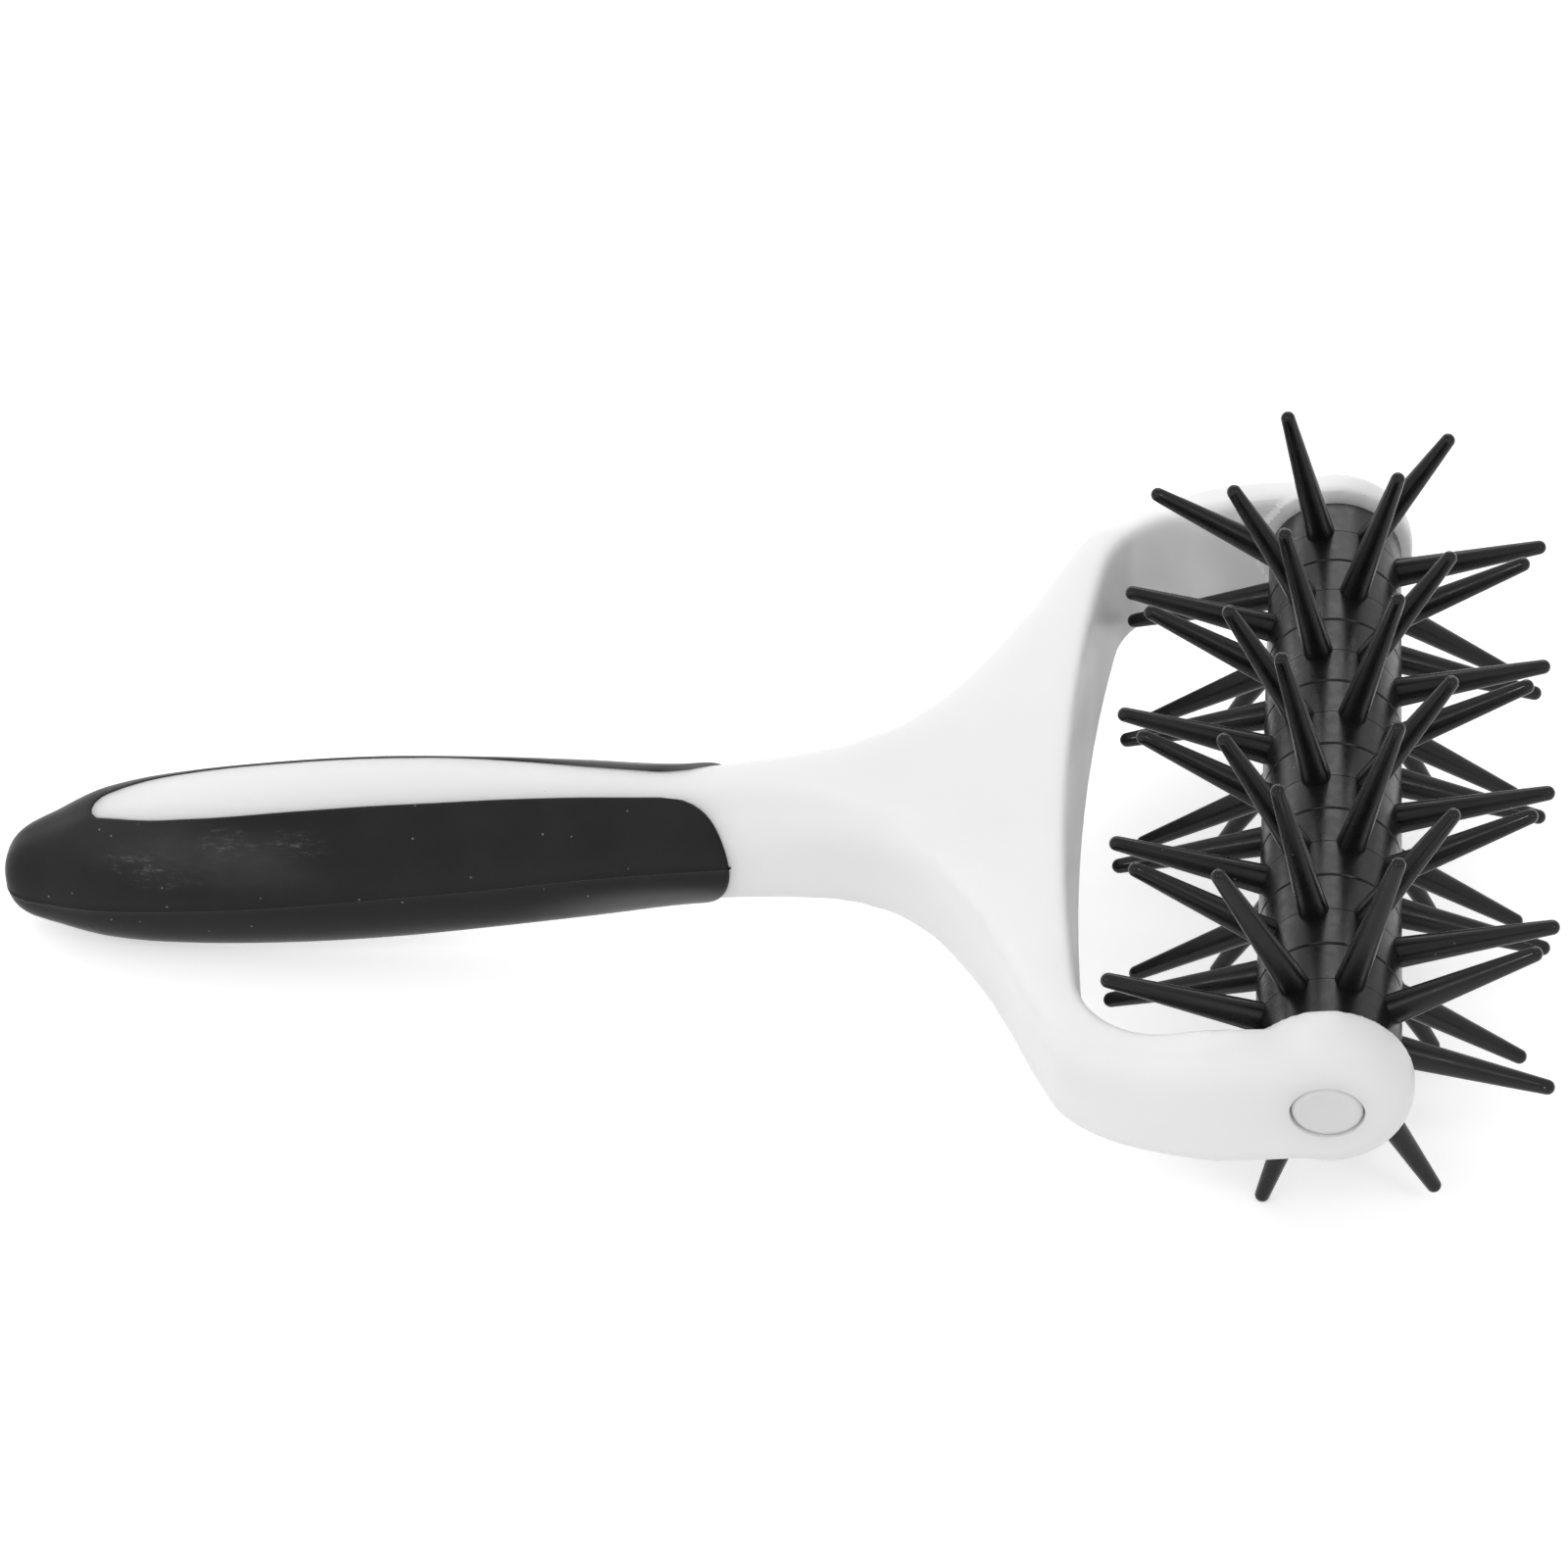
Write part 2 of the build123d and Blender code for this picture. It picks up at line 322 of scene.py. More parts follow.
    @staticmethod
    def slide(piece: bpy.types.Object, step: Point) -> None:
        """Move a piece and keep the move in its mesh."""
        piece.location = step
        Bench.settle(piece)

    @staticmethod
    def settle(piece: bpy.types.Object) -> None:
        """Put a piece's place into its mesh, so that its object sits at the origin."""
        Bench.select(piece)
        bpy.ops.object.transform_apply(location=True, rotation=True, scale=True)

    @staticmethod
    def modify(piece: bpy.types.Object, kind: str, **settings: object) -> None:
        """Add one modifier to a piece and apply it.

        Args:
            piece: the piece to finish.
            kind: the modifier's type.
            settings: its values.
        """
        modifier = piece.modifiers.new(kind.lower(), kind)
        for name, value in settings.items():
            setattr(modifier, name, value)
        Bench.select(piece)
        bpy.ops.object.modifier_apply(modifier=modifier.name)

    @staticmethod
    def combine(piece: bpy.types.Object, other: bpy.types.Object, how: str,
                keep: bool = False) -> None:
        """Unite a piece with another, or cut the other out of it.

        Args:
            piece: what stays.
            other: what is added or cut away.
            how: UNION, DIFFERENCE or INTERSECT.
            keep: whether the other piece stays in the scene.
        """
        Bench.modify(piece, "BOOLEAN", operation=how, object=other, solver="EXACT")
        if not keep:
            bpy.data.objects.remove(other)

    @staticmethod
    def smooth(piece: bpy.types.Object, edge_deg: float) -> None:
        """Shade smooth, with edges sharper than an angle left crisp."""
        Bench.select(piece)
        bpy.ops.object.shade_smooth_by_angle(angle=math.radians(edge_deg))

    @staticmethod
    def set_down(piece: bpy.types.Object, matrix: Matrix) -> None:
        """Take a finished piece from the tool's axes to the row frame."""
        piece.matrix_world = matrix
        Bench.settle(piece)


# Finishes


class Wiring:
    """Adds and joins the nodes of one procedural material."""

    def __init__(self, name: str) -> None:
        """Begin a material with a plain shader.

        Args:
            name: the material's name.
        """
        self.material = bpy.data.materials.new(name)
        self.material.use_nodes = True
        self.tree = self.material.node_tree
        self.shader = self.tree.nodes["Principled BSDF"]
        self.place = self.add("ShaderNodeTexCoord").outputs["Object"]

    def add(self, kind: str, **settings: object) -> bpy.types.Node:
        """Add a node, set its properties and return it."""
        node = self.tree.nodes.new(kind)
        for name, value in settings.items():
            setattr(node, name, value)
        return node

    def link(self, source: bpy.types.NodeSocket, target: bpy.types.NodeSocket) -> None:
        """Join two sockets."""
        self.tree.links.new(source, target)

    def set(self, **values: float) -> None:
        """Set constant values on the shader's own sockets, spaces as underscores."""
        for name, value in values.items():
            self.shader.inputs[name.replace("_", " ")].default_value = value

    def noise(self, scale: float, detail: float = 3, rough: float = 0.5,
              stretch: Point = (1, 1, 1)) -> bpy.types.NodeSocket:
        """Smooth noise over the piece, finer as scale grows.

        Args:
            scale: cells for each metre.
            detail: how many octaves.
            rough: how strong the finer octaves are.
            stretch: scale on each axis before the noise.

        Returns:
            The noise's value.
        """
        mapping = self.add("ShaderNodeMapping")
        mapping.inputs["Scale"].default_value = stretch
        self.link(self.place, mapping.inputs["Vector"])
        noise = self.add("ShaderNodeTexNoise")
        noise.inputs["Scale"].default_value = scale
        noise.inputs["Detail"].default_value = detail
        noise.inputs["Roughness"].default_value = rough
        self.link(mapping.outputs[0], noise.inputs["Vector"])
        return noise.outputs["Fac"]

    def remap(self, source: bpy.types.NodeSocket, low: float, high: float,
              to_low: float, to_high: float) -> bpy.types.NodeSocket:
        """Take a value from one range to another, held at its ends."""
        node = self.add("ShaderNodeMapRange", interpolation_type="SMOOTHSTEP")
        for name, value in (("From Min", low), ("From Max", high),
                            ("To Min", to_low), ("To Max", to_high)):
            node.inputs[name].default_value = value
        self.link(source, node.inputs["Value"])
        return node.outputs["Result"]

    def sum(self, first: bpy.types.NodeSocket, second: bpy.types.NodeSocket,
            how: str = "ADD") -> bpy.types.NodeSocket:
        """Combine two values by adding, multiplying or taking the larger."""
        node = self.add("ShaderNodeMath", operation=how)
        self.link(first, node.inputs[0])
        self.link(second, node.inputs[1])
        return node.outputs[0]

    def spot(self, centre: Vector, radius: Point) -> bpy.types.NodeSocket:
        """One at a place, fading to nothing at a distance from it.

        Args:
            centre: the place, in metres.
            radius: reach along each axis, in metres.

        Returns:
            How near a point is to the place.
        """
        mapping = self.add("ShaderNodeMapping", vector_type="POINT")
        scale = [1 / size for size in radius]
        mapping.inputs["Scale"].default_value = scale
        mapping.inputs["Location"].default_value = [-c * s for c, s in zip(centre, scale)]
        self.link(self.place, mapping.inputs["Vector"])
        length = self.add("ShaderNodeVectorMath", operation="LENGTH")
        self.link(mapping.outputs[0], length.inputs[0])
        return self.remap(length.outputs["Value"], 0, 1, 1, 0)

    def colours(self, amount: bpy.types.NodeSocket, first: Point, second: Point
                ) -> bpy.types.NodeSocket:
        """A colour between two, by an amount from 0 to 1."""
        node = self.add("ShaderNodeMix", data_type="RGBA")
        self.link(amount, node.inputs["Factor"])
        node.inputs[6].default_value = (*first, 1)
        node.inputs[7].default_value = (*second, 1)
        return node.outputs[2]

    def tint(self, base: bpy.types.NodeSocket, amount: bpy.types.NodeSocket,
             colour: Point) -> bpy.types.NodeSocket:
        """Lay a colour over another, by an amount from 0 to 1."""
        node = self.add("ShaderNodeMix", data_type="RGBA")
        self.link(amount, node.inputs["Factor"])
        self.link(base, node.inputs[6])
        node.inputs[7].default_value = (*colour, 1)
        return node.outputs[2]

    def bump(self, height: bpy.types.NodeSocket, distance: float,
             strength: float = 1) -> None:
        """Raise the surface by a height times a distance in metres."""
        node = self.add("ShaderNodeBump")
        node.inputs["Strength"].default_value = strength
        node.inputs["Distance"].default_value = distance
        self.link(height, node.inputs["Height"])
        if self.shader.inputs["Normal"].is_linked:
            self.link(self.shader.inputs["Normal"].links[0].from_socket, node.inputs["Normal"])
        self.link(node.outputs[0], self.shader.inputs["Normal"])

    def specks(self, cells: float, radius: float, rarity: float) -> bpy.types.NodeSocket:
        """Small round specks scattered over the piece.

        Args:
            cells: how many cells for each metre may hold a speck.
            radius: a speck's radius as a share of its cell.
            rarity: share of the cells that stay empty.

        Returns:
            One inside a speck and nothing elsewhere.
        """
        cell = self.add("ShaderNodeTexVoronoi", feature="F1")
        cell.inputs["Scale"].default_value = cells
        self.link(self.place, cell.inputs["Vector"])
        near = self.remap(cell.outputs["Distance"], radius * 0.5, radius, 1, 0)
        parts = self.add("ShaderNodeSeparateColor")
        self.link(cell.outputs["Color"], parts.inputs[0])
        chosen = self.remap(parts.outputs[0], rarity, rarity + 0.01, 0, 1)
        return self.sum(near, chosen, "MULTIPLY")


@dataclass(frozen=True)
class WhitePlastic:
    """White moulded plastic: satin gloss, faint flow marks, a few dark specks, and painted light that pales the
    far arm's inner face and the crotch wall.
    """

    name: str = "white_plastic"
    colour: Point = (0.81, 0.81, 0.81)
    shade: Point = (0.79, 0.79, 0.79)
    painted_fill_light: Point = (0.95, 0.95, 0.95)
    mark: Point = (0.1, 0.1, 0.1)
    rough: float = 0.42
    depth: float = 6 * MM

    def make(self, tool: ToolSpace) -> bpy.types.Material:
        """Build the material.

        Args:
            tool: gives the places of the painted light on the far arm's inner face and on the crotch wall.

        Returns:
            The finished material.
        """
        wiring = Wiring(self.name)
        wiring.set(Specular_IOR_Level=0.42, Subsurface_Weight=0.6, Subsurface_Scale=self.depth)
        wiring.shader.inputs["Subsurface Radius"].default_value = (1, 1, 1)
        cloud = wiring.noise(35, 2, 0.5, (1, 1, 2))
        colour = wiring.colours(wiring.remap(cloud, 0.35, 0.7, 0, 1), self.colour, self.shade)
        # painted light: the far arm's inner face and the crotch wall are paled towards near white, standing in for
        # light that the roller blocks there
        for place, reach in (((-22, 55.5, 0), (24, 7, 14)), ((-35, 0, 0), (4, 62, 12))):
            inside = wiring.spot(tool.place(place), tuple(r * MM for r in reach))
            colour = wiring.tint(colour, wiring.remap(inside, 0, 0.4, 0, 1), self.painted_fill_light)
        flecks = wiring.specks(250, 0.03, 0.7)
        colour = wiring.tint(colour, wiring.remap(flecks, 0, 1, 0, 0.5), self.mark)
        wiring.link(colour, wiring.shader.inputs["Base Color"])
        grain = wiring.noise(900, 3, 0.6)
        wiring.link(wiring.remap(grain, 0.3, 0.7, self.rough - 0.05, self.rough + 0.07),
                    wiring.shader.inputs["Roughness"])
        wiring.bump(wiring.noise(2500, 2, 0.6), 0.0000015)
        wiring.bump(wiring.noise(60, 2, 0.4), 0.00006)
        return wiring.material


@dataclass(frozen=True)
class GripRubber:
    """Charcoal soft rubber: matte, finely grained, with dust and light scuffs, and painted reflections that pale
    its lower near facet and its far top edge at the front.
    """

    colour: Point = (0.011, 0.011, 0.0112)
    worn: Point = (0.0185, 0.0185, 0.0187)
    dust: Point = (0.2, 0.2, 0.2)
    pale: Point = (0.17, 0.17, 0.17)
    rough: float = 0.58

    def make(self, tool: ToolSpace) -> bpy.types.Material:
        """Build the material.

        Args:
            tool: gives the places of the scuffs and of the painted reflections.

        Returns:
            The finished material.
        """
        wiring = Wiring("grip_rubber")
        wiring.set(Specular_IOR_Level=0.14, Sheen_Weight=0.5, Sheen_Roughness=0.25)
        cloud = wiring.noise(60, 4, 0.55)
        colour = wiring.colours(wiring.remap(cloud, 0.35, 0.7, 0, 1), self.colour, self.worn)
        # painted reflection: the lower near facet towards the front is lightened with the pale dust grey, standing
        # in for the floor seen at grazing angles
        under = wiring.spot(tool.place((-88, -7, -8)), (30 * MM, 9 * MM, 7 * MM))
        colour = wiring.tint(colour, wiring.remap(under, 0, 0.8, 0, 0.45), self.dust)
        # painted reflection: the far side's top edge near the front is paled, standing in for the white background
        # seen at grazing angles
        rim = wiring.spot(tool.place((-92, 5.4, 8.4)), (24 * MM, 3.2 * MM, 4 * MM))
        colour = wiring.tint(colour, wiring.remap(rim, 0, 0.5, 0, 0.9), self.pale)
        haze = wiring.spot(tool.place((-152, -9, 7)), (42 * MM, 12 * MM, 8 * MM))
        pale = wiring.sum(haze, wiring.noise(90, 4, 0.6, (0.5, 1, 1)), "MULTIPLY")
        colour = wiring.tint(colour, wiring.remap(pale, 0.1, 0.7, 0, 0.16), self.dust)
        streak = wiring.remap(wiring.noise(1300, 5, 0.8, (0.3, 1, 1)), 0.42, 0.8, 0, 1)
        for place, reach in (((-160, -10, 6), (12, 9, 4)), ((-149, -9, 9), (7, 6, 3.5)),
                             ((-139, -9, 8.5), (7, 7, 2.5))):
            scuff = wiring.sum(wiring.spot(tool.place(place), tuple(r * MM for r in reach)),
                               streak, "MULTIPLY")
            colour = wiring.tint(colour, wiring.remap(scuff, 0, 1, 0, 0.5), self.dust)
        specks = wiring.specks(520, 0.11, 0.72)
        colour = wiring.tint(colour, wiring.remap(specks, 0, 1, 0, 0.65), self.dust)
        wiring.link(colour, wiring.shader.inputs["Base Color"])
        wiring.link(wiring.remap(cloud, 0.3, 0.7, self.rough - 0.08, self.rough + 0.08),
                    wiring.shader.inputs["Roughness"])
        wiring.bump(wiring.noise(4200, 3, 0.65), 0.00002)
        wiring.bump(wiring.noise(140, 3, 0.5), 0.00008)
        return wiring.material


@dataclass(frozen=True)
class SpikePlastic:
    """Black moulded plastic of the rings: half gloss, with a little dust."""

    colour: Point = (0.004, 0.004, 0.0041)
    worn: Point = (0.007, 0.007, 0.0071)
    dust: Point = (0.2, 0.2, 0.2)
    rough: float = 0.28
    tip_gloss: float = 0.35

    def make(self, tool: ToolSpace) -> bpy.types.Material:
        """Build the material.

        Args:
            tool: gives the axle's place; the pins' tips are glossier than the drums.

        Returns:
            The finished material.
        """
        wiring = Wiring("spike_plastic")
        wiring.set(Specular_IOR_Level=0.3)
        cloud = wiring.noise(120, 3, 0.5)
        colour = wiring.colours(wiring.remap(cloud, 0.35, 0.7, 0, 1), self.colour, self.worn)
        specks = wiring.specks(420, 0.07, 0.75)
        colour = wiring.tint(colour, wiring.remap(specks, 0, 1, 0, 0.7), self.dust)
        wiring.link(colour, wiring.shader.inputs["Base Color"])
        rough = wiring.remap(wiring.noise(500, 3, 0.6), 0.3, 0.7, self.rough - 0.02,
                             self.rough + 0.08)
        reach = wiring.spot(tool.centre, (30 * MM, 10.0, 30 * MM))
        polish = wiring.remap(reach, 0.0, 0.07, self.tip_gloss, 1)
        wiring.link(wiring.sum(rough, polish, "MULTIPLY"), wiring.shader.inputs["Roughness"])
        wiring.bump(wiring.noise(3000, 2, 0.6), 0.000004)
        wiring.bump(wiring.noise(220, 2, 0.5), 0.00003)
        return wiring.material


@dataclass(frozen=True)
class PlainPlastic:
    """A matte plastic of the hidden bearings and core."""

    name: str
    colour: Point
    worn: Point
    rough: float = 0.5

    def make(self) -> bpy.types.Material:
        """Build the material and return it."""
        wiring = Wiring(self.name)
        cloud = wiring.noise(180, 3, 0.5)
        colour = wiring.colours(cloud, self.colour, self.worn)
        wiring.link(colour, wiring.shader.inputs["Base Color"])
        wiring.link(wiring.remap(cloud, 0.3, 0.7, self.rough - 0.06, self.rough + 0.06),
                    wiring.shader.inputs["Roughness"])
        wiring.bump(wiring.noise(2600, 3, 0.6), 0.000008)
        return wiring.material


@dataclass(frozen=True)
class DrawnSteel:
    """Steel rod with fine marks along its length."""

    colour: Point = (0.62, 0.62, 0.63)
    worn: Point = (0.5, 0.5, 0.51)
    rough: float = 0.28

    def make(self) -> bpy.types.Material:
        """Build the material and return it."""
        wiring = Wiring("steel")
        wiring.set(Metallic=1.0)
        lines = wiring.noise(2200, 3, 0.6, (1, 0.02, 1))
        wiring.link(wiring.colours(lines, self.colour, self.worn),
                    wiring.shader.inputs["Base Color"])
        wiring.link(wiring.remap(lines, 0.3, 0.7, self.rough - 0.08, self.rough + 0.1),
                    wiring.shader.inputs["Roughness"])
        wiring.bump(lines, 0.000003)
        return wiring.material


@dataclass(frozen=True)
class Palette:
    """Every finish of the tool, by the record's slot."""

    materials: dict[str, bpy.types.Material]

    @classmethod
    def mixed(cls, tool: ToolSpace) -> "Palette":
        """Build every finish once."""
        return cls({
            "white_plastic": WhitePlastic().make(tool),
            "grip_rubber": GripRubber().make(tool),
            "spike_plastic": SpikePlastic().make(tool),
            # painted shade: the caps get a darker copy of the white plastic, standing in for the shade in their
            # recessed, dished faces
            "cap_plastic": WhitePlastic("cap_plastic", (0.76, 0.76, 0.76),
                                        (0.74, 0.74, 0.74)).make(tool),
            "core_plastic": PlainPlastic("core_plastic", (0.03, 0.03, 0.031),
                                         (0.05, 0.05, 0.05)).make(),
            "bearing_plastic": PlainPlastic("bearing_plastic", (0.78, 0.76, 0.7),
                                            (0.7, 0.68, 0.62)).make(),
            "steel": DrawnSteel().make(),
        })

    def dress(self, piece: bpy.types.Object, slot: str) -> None:
        """Give a piece the finish of a slot."""
        piece.data.materials.clear()
        piece.data.materials.append(self.materials[slot])

    def finish(self, piece: bpy.types.Object, slot: str, body: Body, *nodes: str) -> None:
        """Dress a new piece, let it ride on its body and stand for its nodes.

        Args:
            piece: the new piece, already in the row frame.
            slot: the record's material slot.
            body: the body that it moves with.
            nodes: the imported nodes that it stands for.
        """
        self.dress(piece, slot)
        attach(piece, body.value)
        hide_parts(*nodes)
        log.info("%s: %d faces, rides on %s", piece.name, len(piece.data.polygons), body.value)


# The handle's form, which the moulding and the grip share


@dataclass(frozen=True)
class Section:
    """Near half of a rounded cross section of the handle, in millimetres."""

    width: float
    depth: float
    hang: float
    corner: float

    def at(self, share: float) -> Plan:
        """Where a share of the way round lies, from the top's middle to the bottom's.

        Args:
            share: 0 at the top's middle, 0.5 at the side and 1 at the bottom's middle.

        Returns:
            How far across and how high.
        """
        if share > 0.5:
            across, high = self.at(1 - share)
            return across, -2 * self.hang - high
        radius = min(self.corner, self.width, self.depth)
        flat, bend = self.width - radius, math.pi / 2 * radius
        along = share * 2 * (flat + bend + self.depth - radius)
        if along <= flat:
            return -along, self.depth - self.hang
        if along <= flat + bend:
            turn = (along - flat) / radius
            return (-flat - radius * math.sin(turn),
                    self.depth - radius + radius * math.cos(turn) - self.hang)
        return -self.width, self.depth - radius - (along - flat - bend) - self.hang

    def share_across(self, across: float) -> float:
        """How far round the top lies at a distance from the middle plane."""
        radius = min(self.corner, self.width, self.depth)
        flat, bend = self.width - radius, math.pi / 2 * radius
        whole = 2 * (flat + bend + self.depth - radius)
        if across <= flat:
            return across / whole
        return (flat + radius * math.asin(min(1.0, (across - flat) / radius))) / whole

    def shrunk(self, by: float) -> "Section":
        """The same section drawn in all round."""
        return Section(self.width - by, self.depth - by, self.hang,
                       max(self.corner - by, 0.05))


@dataclass(frozen=True)
class HandleForm:
    """Sizes of the handle along its length, in millimetres behind the axle."""

    reach: float = 183.4
    grip_half_width: float = 12.15
    grip_half_depth: float = 12.5
    neck_half_width: float = 8.1
    neck_half_depth: float = 9.2
    grip_round: float = 0.97
    spine_end: float = 169.4
    spine_half_width: float = 5.35
    root: float = 62.0
    root_section: Section = Section(10.3, 8.4, 0, 3.3)
    lead: float = 3.4
    lead_flare: float = 2.3
    spine_from: float = 113.7
    grip_shares: tuple = (
        (0.436, 0.683, 0.784, 0.029), (0.480, 0.683, 0.788, 0.034),
        (0.552, 0.750, 0.878, 0.016), (0.627, 0.867, 0.947, 0.000),
        (0.701, 0.942, 1.000, -0.008), (0.791, 1.000, 0.988, -0.006),
        (0.853, 0.979, 0.931, -0.006), (0.900, 0.925, 0.833, -0.004),
        (0.929, 0.842, 0.735, 0.004), (0.943, 0.775, 0.661, 0.016),
        (0.960, 0.670, 0.573, 0.034), (0.973, 0.598, 0.510, 0.042),
        (0.986, 0.500, 0.424, 0.051), (0.994, 0.383, 0.322, 0.054),
        (0.998, 0.258, 0.220, 0.054), (1.000, 0.125, 0.106, 0.054))
    neck_shares: tuple = (
        (0.352, 1.160, 0.929, 0.000, 0.49), (0.368, 1.086, 0.946, 0.002, 0.58),
        (0.387, 1.037, 0.970, 0.006, 0.69), (0.412, 1.006, 0.991, 0.012, 0.82),
        (0.436, 1.000, 1.000, 0.022, 0.90), (0.458, 0.970, 0.989, 0.031, 0.91),
        (0.483, 0.970, 0.980, 0.034, 0.92), (0.518, 1.015, 1.050, 0.027, 0.93),
        (0.552, 1.090, 1.125, 0.016, 0.94), (0.589, 1.185, 1.210, 0.006, 0.95))
    spine_shares: tuple = (
        (0.400, 0.58), (0.480, 0.58), (0.525, 0.60), (0.590, 0.69), (0.661, 0.80),
        (0.744, 0.94), (0.832, 1.00), (0.909, 0.96), (0.959, 0.77), (0.986, 0.50))

    def grip_rows(self) -> list[tuple[float, ...]]:
        """Stations of the grip's skin: behind, width, depth, hang and corner."""
        rows = []
        for along, across, deep, hang in self.grip_shares:
            width, depth = across * self.grip_half_width, deep * self.grip_half_depth
            rows.append((along * self.reach, width, depth, hang * self.grip_half_depth,
                         self.grip_round * min(width, depth)))
        return rows

    def skin(self) -> Curve:
        """The grip's skin along the handle."""
        return Curve(self.grip_rows())

    def moulding(self) -> Curve:
        """The white moulding's skin, from the fork's root to the handle's end."""
        root = self.root_section
        rows = [(self.root - self.lead, root.width + self.lead_flare, root.depth, root.hang,
                 root.corner), (self.root, root.width, root.depth, root.hang, root.corner)]
        for along, across, deep, hang, rounding in self.neck_shares:
            width, depth = across * self.neck_half_width, deep * self.neck_half_depth
            rows.append((along * self.reach, width, depth, hang * self.grip_half_depth,
                         rounding * min(width, depth)))
        rows += [row for row in self.grip_rows() if row[0] > self.spine_from]
        return Curve(rows)

    def spine(self) -> Curve:
        """Half width of the white spine along the handle, seen from above."""
        rows = [(along * self.spine_end, across * self.spine_half_width)
                for along, across in self.spine_shares]
        return Curve(rows)

    def spine_edge(self, behind: float) -> float:
        """Half width of the spine, with its rear end rounded off."""
        last = self.spine_shares[-1]
        tail_start = last[0] * self.spine_end
        if behind <= tail_start:
            return self.spine().at(behind)[0]
        if behind >= self.spine_end:
            return 0.0
        share = (behind - tail_start) / (self.spine_end - tail_start)
        return last[1] * self.spine_half_width * (1 - share**1.8) ** 0.5


# The white moulding


@dataclass
class Moulding:
    """The fork, its arms and bosses, and the handle's core: one white moulding."""

    form: HandleForm
    lean: float
    half_height: float = 8.4
    arm_outer: float = 63.26
    boss_outer: float = 63.31
    boss_inner: float = 55.91
    outer_round: float = 3.3
    inner_round: float = 1.4
    crotch_depth: float = 34.4
    crotch_bow: float = 4.7
    crotch_corner: float = 13.0
    boss_radius: float = 10.9
    boss_dome: float = 5.4
    boss_edge: float = 0.4
    bore_radius: float = 2.52
    cap_room_radius: float = 4.75
    cap_room_depth: float = 2.4
    cap_squash: float = 0.86
    sunk: float = 0.12
    grain: float = 0.5
    arm_rise: float = 0.9
    boss_step: float = 0.7
    wall_seam: float = 0.12
    neck_lead: Plan = (64.6, 9.4)
    flank: tuple[Plan, ...] = ((62.0, 10.3), (55.1, 15.83), (49.3, 24.06), (43.5, 34.76),
                               (37.7, 48.37), (34.8, 54.0), (29.0, 58.94), (20.3, 62.36),
                               (13.5, 63.26), (0.0, 63.26))
    top_columns: int = 9
    round_columns: int = 5
    side_columns: int = 5

    def flank_point(self, share: float) -> tuple[Vector, Vector]:
        """A point of the near outer edge, seen from above, and the way inward there.

        Args:
            share: 0 at the fork's root and 1 at the axle.

        Returns:
            The point and the inward direction, both as (x, y).
        """
        curve = self.flank_curve()
        step = 0.002
        here = Vector(curve.at(share))
        ahead, behind = Vector(curve.at(share + step)), Vector(curve.at(share - step))
        if share >= 1 - step:
            ahead = here
        tangent = (ahead - behind).normalized()
        return here, Vector((-tangent.y, tangent.x))

    def flank_curve(self) -> Curve:
        """The near outer edge by its share of the way round."""
        lengths = [0.0]
        for before, after in zip(self.flank, self.flank[1:]):
            lengths.append(lengths[-1] + (Vector(after) - Vector(before)).length)
        rows = [(length / lengths[-1], -behind, -across)
                for length, (behind, across) in zip(lengths, self.flank)]
        lead = (Vector(self.neck_lead) - Vector(self.flank[0])).length / lengths[-1]
        return Curve([(-lead, -self.neck_lead[0], -self.neck_lead[1])] + rows)

    def crotch_line(self) -> list[Vector]:
        """Inner line of the near half: down the middle, round the crotch, along the arm."""
        chord, rise = self.boss_inner, self.crotch_bow
        radius = (chord**2 + rise**2) / (2 * rise)
        centre = Vector((radius - self.crotch_depth, 0))
        corner_reach = radius - self.crotch_corner
        corner_y = self.boss_inner - self.crotch_corner
        corner = centre - Vector((math.sqrt(corner_reach**2 - corner_y**2), corner_y))
        sweep = math.asin(corner_y / corner_reach)
        line = [Vector((x, 0)) for x in spread(-self.form.root, -self.crotch_depth, 12)]
        for angle in spread(0, sweep, 24)[1:]:
            line.append(centre - radius * Vector((math.cos(angle), math.sin(angle))))
        for angle in spread(sweep, math.pi / 2, 16)[1:]:
            line.append(corner - self.crotch_corner * Vector((math.cos(angle), math.sin(angle))))
        line += [Vector((x, -self.boss_inner)) for x in spread(corner.x, 0, 12)[1:]]
        return line

    def crotch_point(self, place: float) -> tuple[Vector, Vector]:
        """A point of the inner line and the way outward there.

        Args:
            place: distance along the line, in millimetres from the fork's root.

        Returns:
            The point and the direction into the moulding.
        """
        line = self.crotch_line()
        run = 0.0
        for before, after in zip(line, line[1:]):
            step = (after - before).length
            if run + step >= place or after is line[-1]:
                share = min(1.0, (place - run) / step)
                way = (after - before).normalized()
                return before.lerp(after, share), Vector((way.y, -way.x))
            run += step
        return line[-1], Vector((0, -1))

    def ribs(self) -> list[tuple[float, float]]:
        """Pairs of places on the flank and on the crotch line that the sheet's rows join."""
        middle = self.form.root - self.crotch_depth
        line = self.crotch_line()
        whole = sum((b - a).length for a, b in zip(line, line[1:]))
        pairs = Curve([(0.0, 0.0), (0.10, 0.37 * middle), (0.2, 0.75 * middle),
                       (0.26, middle), (0.40, 0.50 * whole), (0.50, 0.62 * whole),
                       (0.60, 0.725 * whole), (0.70, 0.80 * whole), (0.80, 0.86 * whole),
                       (1.0, whole)])
        shares = spread(0, 0.26, 21) + spread(0.26, 1, 75)[1:]
        return [(share, pairs.at(share)[0]) for share in shares]

    def root_shares(self) -> list[float]:
        """Shares of the half section at the fork's root where its columns lie."""
        root = self.form.root_section
        flat = root.width - root.corner
        bend = math.pi / 2 * root.corner
        side = root.depth - root.corner
        whole = 2 * (flat + bend + side)
        marks = spread(0, flat, self.top_columns)
        marks += spread(flat, flat + bend, self.round_columns)[1:]
        marks += spread(flat + bend, whole / 2, self.side_columns // 2 + 1)[1:]
        shares = [mark / whole for mark in marks]
        return shares + [1 - share for share in reversed(shares[:-1])]

